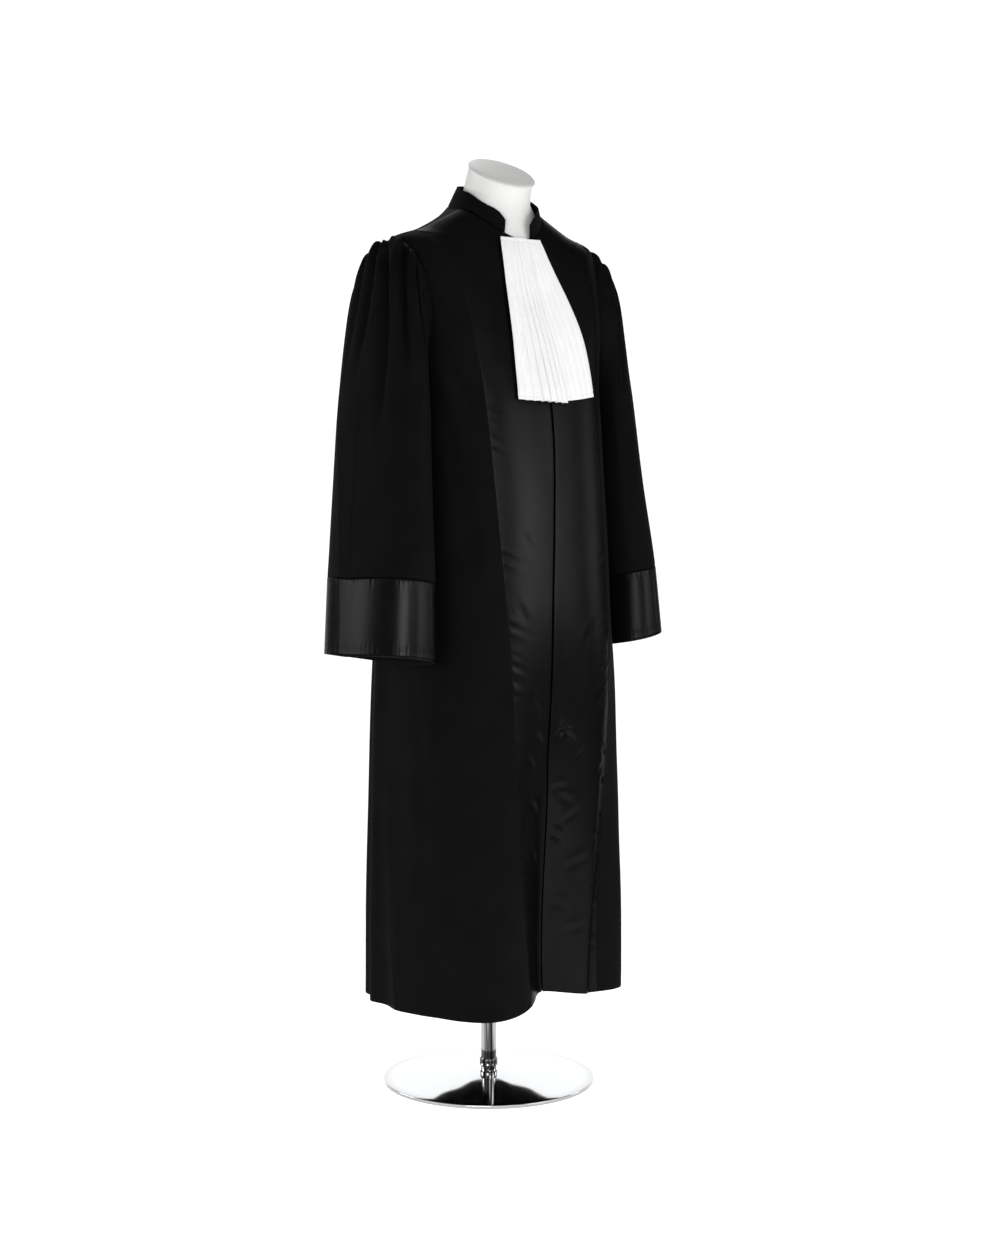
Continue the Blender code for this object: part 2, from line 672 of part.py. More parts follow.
def tilted_ring(height, middle_y, radius, tilt, angle):
    across = np.sin(np.radians(angle))
    ahead = np.cos(np.radians(angle))
    lean = math.radians(tilt)
    return np.stack([radius * across, middle_y - radius * ahead * math.cos(lean),
                     height - radius * ahead * math.sin(lean)], axis=-1)


def make_form(collection, white, grey):
    turn = np.radians(ring_angles(FORM_SIDES))
    angle = np.degrees(np.arctan2(np.sin(turn), FORM_FLATNESS * np.cos(turn)))
    rings = []
    shoulders = body_levels()
    shoulders = shoulders[shoulders > FORM_SKIRT_LEVELS[-1]]
    for level in (*FORM_SKIRT_LEVELS, *shoulders):
        level = np.full(FORM_SIDES, min(level, TOP_LEVEL))
        inset = look_up(INSETS, "inset", level)
        inset = inset + FORM_FRONT_EASE * np.clip(4.0 * np.cos(np.radians(angle)), 0.0, 1.0)
        out = outward(plain_body_point, angle, level, ANGLE_STEP, LEVEL_STEP)
        rings.append(plain_body_point(angle, level) - inset[:, None] * out)
    bottom = rings[0].copy()
    bottom[:, 2] = bottom[:, 2].min() - FORM_BOTTOM_EDGE
    centre = bottom.mean(axis=0)
    rings.insert(0, centre + (bottom - centre) * FORM_BOTTOM_SHARE)
    for row in NECK_RINGS:
        rings.append(tilted_ring(*row, angle))
    loft("form_torso", rings, collection, white)
    height, middle_y, _, tilt = NECK_RINGS[-1]
    lean = math.radians(tilt)
    profile = [(0.0, CAP_EDGE + CAP_RISE)]
    for out, rise in CAP_PROFILE:
        profile.append((CAP_RADIUS * out, CAP_EDGE + CAP_RISE * rise))
    profile += [(CAP_RADIUS, CAP_EDGE * 0.6), (CAP_RADIUS, 0.0), (0.0, 0.0)]
    place = (0.0, middle_y - SEAM * math.sin(lean), height + SEAM * math.cos(lean))
    turned("neck_cap", profile, SMALL_STEPS, place, lean, collection, grey)
    return float(bottom[:, 2].min())


def make_stand(form_bottom, collection, chrome):
    cone = [(0.0, BASE_RISE), (BASE_FLAT, BASE_RISE),
            (BASE_RADIUS - BASE_BEVEL, BASE_EDGE), (BASE_RADIUS, BASE_EDGE - BASE_BEVEL),
            (BASE_RADIUS, BASE_BEVEL), (BASE_RADIUS - BASE_BEVEL, 0.0), (0.0, 0.0)]
    turned("base", cone, BASE_STEPS, (0.0, 0.0, 0.0), 0.0, collection, chrome)
    low = BASE_RISE + SEAM
    high = form_bottom - SEAM
    bpy.ops.mesh.primitive_cylinder_add(vertices=POLE_SIDES, radius=POLE_RADIUS,
                                        depth=high - low,
                                        location=(0.0, 0.0, 0.5 * (high + low)))
    pole = bpy.context.object
    pole.name = "pole"
    pole.data.name = "pole"
    pole.data.shade_smooth()
    pole.data.set_sharp_from_angle(angle=SHARP)
    pole.data.materials.append(chrome)
    for holder in list(pole.users_collection):
        holder.objects.unlink(pole)
    collection.objects.link(pole)
    inner = POLE_RADIUS + SEAM
    ring = [(inner, RING_TOP), (RING_RADIUS - RING_BEVEL, RING_TOP),
            (RING_RADIUS, RING_TOP - RING_BEVEL), (RING_RADIUS, RING_BOTTOM + RING_BEVEL),
            (RING_RADIUS - RING_BEVEL, RING_BOTTOM), (inner, RING_BOTTOM),
            (inner, RING_TOP)]
    turned("pole_ring", ring, SMALL_STEPS, (0.0, 0.0, 0.0), 0.0, collection, chrome)


def main():
    empty_scene()
    collection = bpy.data.collections.new("judicial_robe")
    bpy.context.scene.collection.children.link(collection)
    wool = material("black_wool", BLACK_WOOL, 0.82)
    satin = material("black_satin", BLACK_SATIN, 0.38)
    cotton = material("white_cotton", WHITE_COTTON, 0.80)
    white = material("form_white", FORM_WHITE, 0.62)
    grey = material("cap_grey", CAP_GREY, 0.55)
    chrome = material("chrome", CHROME, 0.12, 1.0)
    make_body_panels(collection, wool, satin)
    make_sleeves(collection, wool, satin)
    make_collar(collection, wool)
    make_jabot(collection, cotton)
    form_bottom = make_form(collection, white, grey)
    make_stand(form_bottom, collection, chrome)


main()
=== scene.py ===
"""The looks of the judicial robe: its cloth with folds, gathers and pleats, and its form.

Metres and degrees, +Z up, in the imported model's frame. The wearer faces -Y, and the
wearer's right side is -X. An angle round the body is 0 in front and 90 at the wearer's
left. A level goes from 0 at the hem to 1 at the neck, and on a sleeve from 0 at its head
to 1 at its end. The robe's body follows its solids' rings in finer steps, with creases
laid on top. Sleeves, collar and jabot are moved a little from theirs, to suit the photo.
"""

import math

import bpy
import numpy as np
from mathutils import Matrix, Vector


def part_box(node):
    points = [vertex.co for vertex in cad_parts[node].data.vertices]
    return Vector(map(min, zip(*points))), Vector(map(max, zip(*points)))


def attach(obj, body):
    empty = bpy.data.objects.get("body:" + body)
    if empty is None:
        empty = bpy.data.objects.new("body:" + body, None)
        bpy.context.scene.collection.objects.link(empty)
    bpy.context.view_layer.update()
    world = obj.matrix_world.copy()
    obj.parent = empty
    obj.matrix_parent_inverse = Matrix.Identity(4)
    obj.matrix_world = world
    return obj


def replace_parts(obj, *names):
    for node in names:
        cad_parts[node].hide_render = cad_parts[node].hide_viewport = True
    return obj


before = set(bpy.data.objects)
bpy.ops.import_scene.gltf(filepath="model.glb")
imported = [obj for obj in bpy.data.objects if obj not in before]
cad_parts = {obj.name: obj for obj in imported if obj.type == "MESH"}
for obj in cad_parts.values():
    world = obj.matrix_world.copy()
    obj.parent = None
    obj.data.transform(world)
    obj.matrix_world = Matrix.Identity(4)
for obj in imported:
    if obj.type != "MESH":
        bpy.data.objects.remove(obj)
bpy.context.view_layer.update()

# The cloth's thickness, the gap between solids at a seam, and the gap that shows here.
WALL = 0.0018
SEAM = 0.0003
SEAM_SHOWN = 0.00004
# The highest level that a panel reaches.
TOP_LEVEL = 0.9999

# Rough radii that turn an angle into a length along the cloth.
BODY_RADIUS = 0.19
HEM_RADIUS = 0.20
SLEEVE_RADIUS = 0.10
COLLAR_RADIUS = 0.070

# Small steps for slopes and normals.
TURN_STEP = 0.2
LEVEL_STEP = 0.002

# The robe's body, one row a ring, from the hem to the neckline.
BODY_COLUMNS = ("level", "side_z", "front_z", "back_z", "half_width", "front_depth",
                "back_depth", "middle_x", "middle_y", "squareness")
BODY_RINGS = (
    (0.00, 0.158, 0.158, 0.158, 0.210, 0.190, 0.225, 0.012, -0.012, 2.40),
    (0.20, 0.438, 0.438, 0.438, 0.207, 0.186, 0.218, 0.012, -0.010, 2.45),
    (0.40, 0.718, 0.718, 0.718, 0.202, 0.182, 0.208, 0.011, -0.010, 2.50),
    (0.60, 0.998, 0.998, 0.998, 0.193, 0.175, 0.188, 0.008, -0.008, 2.50),
    (0.76, 1.222, 1.203, 1.228, 0.189, 0.160, 0.152, 0.003, -0.006, 2.50),
    (0.83, 1.378, 1.303, 1.333, 0.206, 0.141, 0.130, 0.000, -0.004, 2.55),
    (0.90, 1.493, 1.390, 1.428, 0.202, 0.117, 0.108, 0.000, -0.005, 2.25),
    (0.95, 1.519, 1.446, 1.503, 0.145, 0.101, 0.092, 0.000, -0.012, 2.05),
    (1.00, 1.553, 1.498, 1.568, 0.079, 0.080, 0.098, 0.000, -0.024, 2.00),
)
FRONT_LINE_COLUMNS = ("level", "right_seam", "opening", "left_seam")
FRONT_LINES = (
    (0.00, -14.0, 12.5, 54.0),
    (0.13, -20.0, 8.0, 51.0),
    (0.25, -24.0, 2.5, 49.0),
    (0.34, -26.5, -2.0, 46.0),
    (0.47, -29.5, -3.0, 42.5),
    (0.61, -34.0, 0.0, 42.5),
    (0.76, -39.0, 4.0, 48.0),
    (0.83, -45.0, 4.0, 54.0),
    (0.90, -60.0, 3.0, 64.0),
    (0.92, -67.0, 2.5, 69.0),
    (0.93, -78.0, 2.0, 78.0),
    (0.935, -90.0, 2.0, 90.0),
    (1.00, -90.0, 0.0, 90.0),
)
SEAM_MEETS_SHOULDER = 0.935
SIDE_LINES = (
    (0.00, 1.0),
    (0.06, 5.0),
    (0.15, 12.0),
    (0.23, 17.0),
    (0.34, 20.0),
    (0.50, 16.0),
    (0.66, 6.0),
    (0.76, 0.0),
)
OPENING_GAP = 0.0024
HEM_RISE = 0.020
HEM_RISE_WIDTH = 30.0
HEM_RISE_FADE = 0.30

# A row a fold: its angles at the hem and at its top, depth, half width in degrees and
# the level where it has faded away.
BODY_FOLDS = (
    (12.0, -3.0, -0.088, 30.0, 0.52),
    (-37.0, -40.0, 0.012, 12.0, 0.60),
    (-66.0, -64.0, -0.007, 10.0, 0.55),
    (50.0, 46.0, -0.030, 9.0, 0.50),
    (70.0, 64.0, 0.022, 11.0, 0.60),
    (-91.0, -112.0, 0.007, 7.0, 0.44),
    (92.0, 112.0, 0.007, 7.0, 0.44),
    (110.0, 116.0, 0.014, 6.0, 0.84),
    (127.0, 129.0, 0.017, 6.5, 0.90),
    (142.0, 142.0, 0.013, 6.0, 0.88),
    (157.0, 154.0, 0.018, 6.5, 0.92),
    (172.0, 168.0, 0.014, 6.0, 0.90),
    (187.0, 182.0, 0.018, 6.5, 0.93),
    (201.0, 196.0, 0.013, 6.0, 0.88),
    (215.0, 208.0, 0.021, 7.0, 0.91),
    (231.0, 228.0, 0.013, 6.0, 0.88),
    (247.0, 243.0, 0.015, 6.0, 0.84),
)

ARMPIT = 0.76
SHOULDER_TIP = 0.90
ARMHOLE_HALF_ANGLE = 25.0
ARMHOLE_ROUNDNESS = 0.60
ARMHOLE_STEPS = (0.08, 0.27, 0.50, 0.73, 0.92)

# A row a ring: level, outer x and z, inner x and z, middle y and half depth.
SLEEVE_RINGS = {
    -1.0: (
        (0.07, -0.213, 1.495, -0.194, 1.200, -0.006, 0.096),
        (0.15, -0.234, 1.465, -0.195, 1.168, -0.012, 0.106),
        (0.28, -0.258, 1.378, -0.195, 1.113, -0.020, 0.114),
        (0.46, -0.283, 1.248, -0.195, 1.038, -0.027, 0.120),
        (0.64, -0.302, 1.098, -0.195, 0.963, -0.034, 0.125),
        (0.82, -0.320, 0.922, -0.195, 0.900, -0.042, 0.129),
        (1.00, -0.330, 0.789, -0.195, 0.767, -0.046, 0.132),
    ),
    1.0: (
        (0.07, 0.211, 1.492, 0.198, 1.200, 0.002, 0.095),
        (0.15, 0.226, 1.462, 0.201, 1.168, 0.006, 0.104),
        (0.28, 0.243, 1.376, 0.203, 1.113, 0.010, 0.112),
        (0.46, 0.270, 1.248, 0.205, 1.038, 0.011, 0.118),
        (0.64, 0.294, 1.098, 0.209, 0.963, 0.008, 0.121),
        (0.82, 0.320, 0.922, 0.214, 0.903, 0.002, 0.126),
        (1.00, 0.334, 0.802, 0.217, 0.777, 0.000, 0.130),
    ),
}
SLEEVE_SQUARENESS = 2.3
CUFF_SEAM = 0.82
SIDE_WORDS = {-1.0: "right", 1.0: "left"}
TUCK_SEEDS = {-1.0: 11, 1.0: 23}


def table(columns, rows):
    """Turn rows of numbers into one array for each named column."""
    return dict(zip(columns, np.array(rows, dtype=float).T))


def smooth_value(places, values, at):
    """A smooth curve through (places, values) that never swings past its points."""
    gaps = np.diff(places)
    slopes = np.diff(values) / gaps
    bends = np.zeros(len(values))
    bends[0] = slopes[0]
    bends[-1] = slopes[-1]
    for i in range(1, len(values) - 1):
        if slopes[i - 1] * slopes[i] > 0.0:
            bends[i] = 2.0 * slopes[i - 1] * slopes[i] / (slopes[i - 1] + slopes[i])
    at = np.clip(at, places[0], places[-1])
    i = np.clip(np.searchsorted(places, at, side="right") - 1, 0, len(gaps) - 1)
    t = (at - places[i]) / gaps[i]
    start = (1.0 + 2.0 * t) * (1.0 - t) ** 2 * values[i]
    end = t ** 2 * (3.0 - 2.0 * t) * values[i + 1]
    leave = t * (1.0 - t) ** 2 * gaps[i] * bends[i]
    arrive = t ** 2 * (t - 1.0) * gaps[i] * bends[i + 1]
    return start + end + leave + arrive


def look_up(data, name, level):
    return smooth_value(data["level"], data[name], level)


def ease(value):
    t = np.clip(value, 0.0, 1.0)
    return t * t * (3.0 - 2.0 * t)


def bell(distance, width):
    """One in the middle, and fading away on both sides."""
    return np.exp(-(distance / width) ** 2)


def ways(angle):
    """How far an angle points to the wearer's left, and how far ahead."""
    turn = np.radians(angle)
    return np.sin(turn), np.cos(turn)


def turn_between(angle, middle):
    return (angle - middle + 180.0) % 360.0 - 180.0


def unit(vectors):
    return vectors / np.linalg.norm(vectors, axis=-1, keepdims=True)


BODY = table(BODY_COLUMNS, BODY_RINGS)
LINES = table(FRONT_LINE_COLUMNS, FRONT_LINES)
SIDES = table(("level", "swing"), SIDE_LINES)


def oval_point(angle, ring, folds=0.0):
    """A point of a ring with one oval in front and one behind, which isn't level."""
    across, ahead = ways(angle)
    depth = np.where(ahead > 0.0, ring["front_depth"], ring["back_depth"])
    total = np.abs(across / ring["half_width"]) ** ring["squareness"]
    total = total + np.abs(ahead / depth) ** ring["squareness"]
    radius = total ** (-1.0 / ring["squareness"]) + folds
    end_z = np.where(ahead > 0.0, ring["front_z"], ring["back_z"])
    return np.stack([ring["middle_x"] + radius * across, ring["middle_y"] - radius * ahead,
                     ring["side_z"] * across ** 2 + end_z * ahead ** 2], axis=-1)


def body_fold_height(angle, level):
    height = np.zeros(np.broadcast(angle, level).shape)
    for hem_angle, top_angle, depth, width, fade_level in BODY_FOLDS:
        share = np.clip(level / fade_level, 0.0, 1.0)
        middle = hem_angle * (1.0 - share) + top_angle * share
        near = bell(turn_between(angle, middle), width)
        height += depth * near * (1.0 - ease(share))
    return height


def body_point(angle, level, folded=True):
    """A point of the robe's outer skin, the same as its solid's."""
    angle, level = np.broadcast_arrays(angle, level)
    ring = {name: look_up(BODY, name, level) for name in BODY_COLUMNS[1:]}
    points = oval_point(angle, ring, body_fold_height(angle, level) if folded else 0.0)
    opening = look_up(LINES, "opening", level)
    near = bell(turn_between(angle, opening), HEM_RISE_WIDTH)
    points[..., 2] += HEM_RISE * near * (1.0 - ease(level / HEM_RISE_FADE))
    return points


def outward(surface, angle, level):
    """The surface's outward normal, from small steps on both sides."""
    along = surface(angle + TURN_STEP, level) - surface(angle - TURN_STEP, level)
    up = surface(angle, level + LEVEL_STEP) - surface(angle, level - LEVEL_STEP)
    return unit(np.cross(along, up))


def body_normal(angle, level):
    return outward(body_point, angle, np.clip(level, 0.004, 0.996))


def armhole_half_angle(level):
    """Half the armhole's width in degrees: nothing at the armpit and at the shoulder."""
    share = np.clip((level - ARMPIT) / (SHOULDER_TIP - ARMPIT), 0.0, 1.0)
    return ARMHOLE_HALF_ANGLE * np.sin(math.pi * share) ** ARMHOLE_ROUNDNESS


def side_line(level, side, part):
    """The edge that a front or the back has at one side: seam, armhole or shoulder."""
    swing = look_up(SIDES, "swing", level)
    return side * (90.0 + swing + part * armhole_half_angle(level))


# Creases, one row each: place round the body in degrees, height in metres, half length
# and half width in metres, how far the crease turns from level in degrees, and depth.
BAND_CREASES = (
    (43.0, 0.605, 0.011, 0.0050, -16.0, 0.0039),
    (44.5, 0.552, 0.012, 0.0055, -10.0, 0.0042),
    (45.5, 0.492, 0.011, 0.0050, -22.0, 0.0036),
    (46.0, 0.424, 0.012, 0.0055, -14.0, 0.0042),
    (47.5, 0.322, 0.010, 0.0050, -20.0, 0.0030),
    (48.5, 0.252, 0.010, 0.0050, -12.0, 0.0027),
    (38.0, 0.575, 0.013, 0.0060, 28.0, 0.0018),
    (40.0, 0.455, 0.014, 0.0060, 34.0, 0.0018),
    (41.0, 0.372, 0.013, 0.0060, 24.0, 0.0015),
    (8.0, 0.652, 0.014, 0.0050, 38.0, 0.0039),
    (13.0, 0.640, 0.015, 0.0050, -34.0, 0.0036),
    (10.0, 0.548, 0.012, 0.0055, 8.0, 0.0039),
    (15.0, 0.528, 0.016, 0.0060, -30.0, 0.0018),
    (12.0, 0.462, 0.014, 0.0050, -28.0, 0.0039),
    (20.0, 0.496, 0.016, 0.0065, 36.0, 0.0015),
    (24.0, 0.610, 0.018, 0.0070, 42.0, 0.0015),
    (27.0, 0.410, 0.018, 0.0070, 30.0, 0.0015),
    (20.0, 0.336, 0.014, 0.0060, -24.0, 0.0016),
    (32.0, 0.700, 0.018, 0.0070, 50.0, 0.0014),
    (30.0, 0.290, 0.016, 0.0065, 20.0, 0.0014),
    (24.0, 0.820, 0.020, 0.0080, 58.0, 0.0012),
    (-14.0, 0.700, 0.018, 0.0065, -48.0, 0.0014),
    (-10.0, 0.640, 0.016, 0.0060, -40.0, 0.0015),
    (-16.0, 0.600, 0.015, 0.0060, -52.0, 0.0015),
    (-12.0, 0.520, 0.016, 0.0060, -44.0, 0.0014),
    (-9.0, 0.430, 0.015, 0.0060, -50.0, 0.0012),
    (-22.0, 0.860, 0.018, 0.0070, -66.0, 0.0006),
    (-18.0, 0.980, 0.018, 0.0070, -58.0, 0.0006),
)
WOOL_CREASES = (
    (-52.0, 1.240, 0.060, 0.012, -70.0, 0.0026),
    (-60.0, 1.180, 0.070, 0.013, -76.0, 0.0024),
    (-48.0, 0.980, 0.090, 0.015, -84.0, 0.0022),
    (-66.0, 0.760, 0.120, 0.016, 88.0, 0.0024),
    (-45.0, 0.620, 0.110, 0.016, 86.0, 0.0022),
    (-58.0, 0.440, 0.120, 0.015, 90.0, 0.0024),
    (-74.0, 0.560, 0.130, 0.014, -88.0, 0.0026),
    (-40.0, 0.330, 0.090, 0.014, 84.0, 0.0020),
    (52.0, 1.240, 0.060, 0.012, 70.0, 0.0026),
    (62.0, 1.180, 0.070, 0.013, 76.0, 0.0024),
    (58.0, 0.940, 0.090, 0.015, 84.0, 0.0022),
    (66.0, 0.700, 0.120, 0.016, 88.0, 0.0024),
    (76.0, 0.520, 0.120, 0.014, 90.0, 0.0024),
    (60.0, 0.340, 0.090, 0.014, -86.0, 0.0020),
    (150.0, 1.330, 0.070, 0.013, 64.0, 0.0024),
    (206.0, 1.340, 0.070, 0.013, -60.0, 0.0024),
    (176.0, 1.200, 0.090, 0.014, 80.0, 0.0022),
    (128.0, 1.150, 0.090, 0.014, 70.0, 0.0024),
    (236.0, 1.140, 0.090, 0.014, -68.0, 0.0024),
    (164.0, 0.900, 0.130, 0.014, 86.0, 0.0024),
    (196.0, 0.820, 0.130, 0.014, -86.0, 0.0024),
    (134.0, 0.620, 0.130, 0.014, 90.0, 0.0022),
    (222.0, 0.560, 0.130, 0.014, 90.0, 0.0022),
)


CREASE_BOW = 0.06


def crease_height(rows, angle, points):
    """Soft troughs, each with a low ridge along one side."""
    height = np.zeros(points.shape[:-1])
    for place, middle, length, width, tilt, depth in rows:
        across = np.radians(turn_between(angle, place)) * BODY_RADIUS
        up = points[..., 2] - middle
        lean = math.radians(tilt)
        along = across * math.cos(lean) + up * math.sin(lean)
        beside = -across * math.sin(lean) + up * math.cos(lean)
        beside = beside + CREASE_BOW * along ** 2 / length
        trough = bell(beside, width)
        ridge = bell(beside - 1.5 * width, 1.1 * width)
        height += depth * bell(along, length) * (0.75 * ridge - trough)
    return height


def ripple(at, waves):
    """A sum of uneven waves, from rows of (length in metres, size, start)."""
    total = np.zeros(np.shape(at))
    for length, size, start in waves:
        total = total + size * np.sin(2.0 * math.pi * (at / length + start))
    return total


SLACK_WAVES = ((0.43, 0.5, 0.10), (0.27, 0.3, 0.55), (0.17, 0.2, 0.80))
PUCKER_WAVES = ((0.0235, 0.50, 0.00), (0.0170, 0.35, 0.35), (0.0310, 0.30, 0.70))
PUCKER_STRENGTH_WAVES = ((0.19, 0.45, 0.15), (0.11, 0.30, 0.60))
PUCKER_MEAN = 0.55
PUCKER_MOST = 1.2
PUCKER_SLANT = 0.45
PUCKER_START = 0.0035
PUCKER_REACH = 0.016
SEAM_DIP_WIDTH = 0.0022
HEM_DEPTH = 0.030


def seam_relief(distance, along, depth=0.0002, pucker=0.0):
    """The dip at a seam, and the puckers that run out of it."""
    dip = -depth * bell(distance, SEAM_DIP_WIDTH)
    strength = np.clip(PUCKER_MEAN + ripple(along, PUCKER_STRENGTH_WAVES), 0.0, PUCKER_MOST)
    waves = ripple(along + PUCKER_SLANT * distance, PUCKER_WAVES)
    fade = np.exp(-distance / PUCKER_REACH) * ease(distance / PUCKER_START)
    return dip + pucker * strength * waves * fade


def grid_faces(rows, columns, ring=False):
    steps = columns if ring else columns - 1
    row = np.arange(rows - 1)[:, None] * columns
    step = np.arange(steps)[None, :]
    beside = (step + 1) % columns
    faces = np.stack([row + step, row + beside, row + columns + beside,
                      row + columns + step], axis=-1)
    return faces.reshape(-1, 4).tolist()


def add_object(name, data):
    made = bpy.data.objects.new(name, data)
    bpy.context.scene.collection.objects.link(made)
    return made


def make_mesh(name, points, faces, finish):
    """One smooth mesh object, riding on the model's body."""
    mesh = bpy.data.meshes.new(name)
    mesh.from_pydata(points.reshape(-1, 3).tolist(), [], faces)
    mesh.shade_smooth()
    mesh.materials.append(finish)
    made = add_object(name, mesh)
    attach(made, "root")
    return made


def cloth(name, outer, finish, ring=False, thickness=WALL, reverse=None):
    """A thin shell of cloth under a grid of points on its outer side.

    With reverse, the inner side has a finish of its own.
    """
    faces = grid_faces(*outer.shape[:2], ring=ring)
    made = make_mesh(name, outer, faces, finish)
    shell = made.modifiers.new("Cloth", "SOLIDIFY")
    shell.thickness = thickness
    shell.offset = -1.0
    shell.use_even_offset = False
    if reverse:
        made.data.materials.append(reverse)
        shell.material_offset = 1
        shell.material_offset_rim = 0
    return made


def seam_turn(angle, level):
    """Degrees to move a seam's edge aside by, so that half its gap lies square to it."""
    here = body_point(angle, level)
    across = body_point(angle + TURN_STEP, level) - here
    run = np.gradient(here, axis=0)
    slant = np.linalg.norm(np.cross(unit(run), across), axis=-1) / TURN_STEP
    return 0.5 * SEAM_SHOWN / slant


# The right front's edge goes on a little under the left one: degrees past the opening,
# and how far in.
UNDERLAP = ((0.15, 0.0020), (0.6, 0.0060), (2.2, 0.0070), (4.2, 0.0072))
UNDERLAP_TOP = 0.79
UNDERLAP_FADE = 0.05


def under_edge(angle, level, height):
    """More columns past a panel's last one, which dive under its neighbour."""
    keep = 1.0 - ease((level[:, -1] - UNDERLAP_TOP) / UNDERLAP_FADE)
    turns = [angle[:, -1] + past * (0.05 + 0.95 * keep) for past, _ in UNDERLAP]
    dives = [height[:, -1] - depth * keep for _, depth in UNDERLAP]
    rows = np.repeat(level[:, -1:], len(UNDERLAP), axis=1)
    return (np.concatenate([angle, np.array(turns).T], axis=1),
            np.concatenate([level, rows], axis=1),
            np.concatenate([height, np.array(dives).T], axis=1))


# A panel's first and last columns are this narrow, so that its seams shade cleanly.
EDGE_STRIP = 0.0007


def body_panel(name, start_line, end_line, high, rows, columns, relief, finish, slot,
               under=False):
    """One panel of the robe's body, from one line to another, with its relief."""
    step = 0.5
    level = np.repeat(np.linspace(0.0, high, rows)[:, None], columns, axis=1)
    share = np.linspace(0.0, 1.0, columns - 2)[None, :]
    first = start_line(level[:, 0])[:, None]
    last = end_line(level[:, 0])[:, None]
    angle = first * (1.0 - share) + last * share
    here = body_point(angle, level[:, 2:])
    beside = body_point(angle + step, level[:, 2:])
    per_degree = np.linalg.norm(beside - here, axis=-1) / step
    per_degree = np.concatenate([per_degree[:, :1], per_degree, per_degree[:, -1:]], axis=1)
    strip = EDGE_STRIP / per_degree
    angle = np.concatenate([angle[:, :1], angle[:, :1] + strip[:, :1], angle[:, 1:-1],
                            angle[:, -1:] - strip[:, -1:], angle[:, -1:]], axis=1)
    angle[:, 0] += seam_turn(angle[:, 0], level[:, 0])
    angle[:, -1] -= seam_turn(angle[:, -1], level[:, -1])
    from_start = (angle - first) * per_degree
    from_end = (last - angle) * per_degree
    height = relief(angle, body_point(angle, level), from_start, from_end)
    if under:
        angle, level, height = under_edge(angle, level, height)
    outer = body_point(angle, level) + height[..., None] * body_normal(angle, level)
    return cloth(name, outer, finish)


def hem_height(angle):
    near = bell(turn_between(angle, LINES["opening"][0]), HEM_RISE_WIDTH)
    return BODY["side_z"][0] + HEM_RISE * near


def hem_relief(points, angle):
    """A turned-up hem: its stitch line dips, and pulls the cloth a little."""
    up = points[..., 2] - hem_height(angle)
    line = -0.0003 * bell(up - HEM_DEPTH, 0.0020)
    edge = -0.0005 * bell(up - 0.0035, 0.0014)
    pull = 0.0003 * ripple(np.radians(angle) * HEM_RADIUS, PUCKER_WAVES)
    return line + edge + pull * bell(up - HEM_DEPTH, 0.012)


SLACK_SLANT = 0.35
SLACK_LENGTH = 0.71


def slack(angle, points, size):
    """Long, low and uneven waves in cloth that hangs free."""
    around = np.radians(angle) * BODY_RADIUS
    waves = ripple(around + SLACK_SLANT * points[..., 2], SLACK_WAVES)
    return size * waves * np.cos(2.0 * math.pi * (points[..., 2] / SLACK_LENGTH + around))


def wool_relief(angle, points, from_start, from_end):
    up = points[..., 2]
    height = crease_height(WOOL_CREASES, angle, points)
    height += slack(angle, points, 0.0011)
    height += seam_relief(from_start, up) + seam_relief(from_end, up, pucker=0.0003)
    return height + hem_relief(points, angle)


OPENING_ROLL = 0.0002
BAND_PUCKER = (0.0008, 0.0008)


def band_relief(angle, points, from_start, from_end):
    """Satin: creases, puckers along its wool seam, and a flat edge at the opening."""
    up = points[..., 2]
    strength = BAND_PUCKER[0] + BAND_PUCKER[1] * bell(up - 0.80, 0.40)
    seam, opening = (from_start, from_end)
    on_left_side = angle[0, -1] > 30.0
    if on_left_side:
        seam, opening = (from_end, from_start)
    height = crease_height(BAND_CREASES, angle, points) * ease(seam / 0.009)
    height += slack(angle, points, 0.0009)
    height += seam_relief(seam, up, pucker=strength)
    height += seam_relief(opening, up + 0.07, depth=0.0004, pucker=0.0002)
    edge = ease(opening / 0.02)
    height = height * (0.25 + 0.75 * edge)
    height -= OPENING_ROLL * bell(opening, 0.0030)
    return height + hem_relief(points, angle)


def make_body(wool, satin):
    back = body_panel("robe_back", lambda v: side_line(v, 1.0, 1.0),
                      lambda v: 360.0 + side_line(v, -1.0, 1.0),
                      TOP_LEVEL, 170, 190, wool_relief, wool, "black_wool")
    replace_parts(back, "back")
    for side, word in SIDE_WORDS.items():
        def seam(v, word=word):
            return look_up(LINES, word + "_seam", v)

        def middle(v, side=side):
            gap = np.degrees(OPENING_GAP / look_up(BODY, "front_depth", v))
            return look_up(LINES, "opening", v) + side * gap

        def edge(v, side=side):
            return side_line(v, side, -1.0)

        lines = (seam, middle) if side < 0.0 else (middle, seam)
        band = body_panel("robe_satin_band_" + word, *lines, TOP_LEVEL, 260, 46,
                          band_relief, satin, "black_satin", under=side < 0.0)
        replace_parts(band, "satin_band_" + word)
        lines = (edge, seam) if side < 0.0 else (seam, edge)
        front = body_panel("robe_front_" + word, *lines, SEAM_MEETS_SHOULDER - 0.002,
                           190, 60, wool_relief, wool, "black_wool")
        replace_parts(front, "front_" + word)


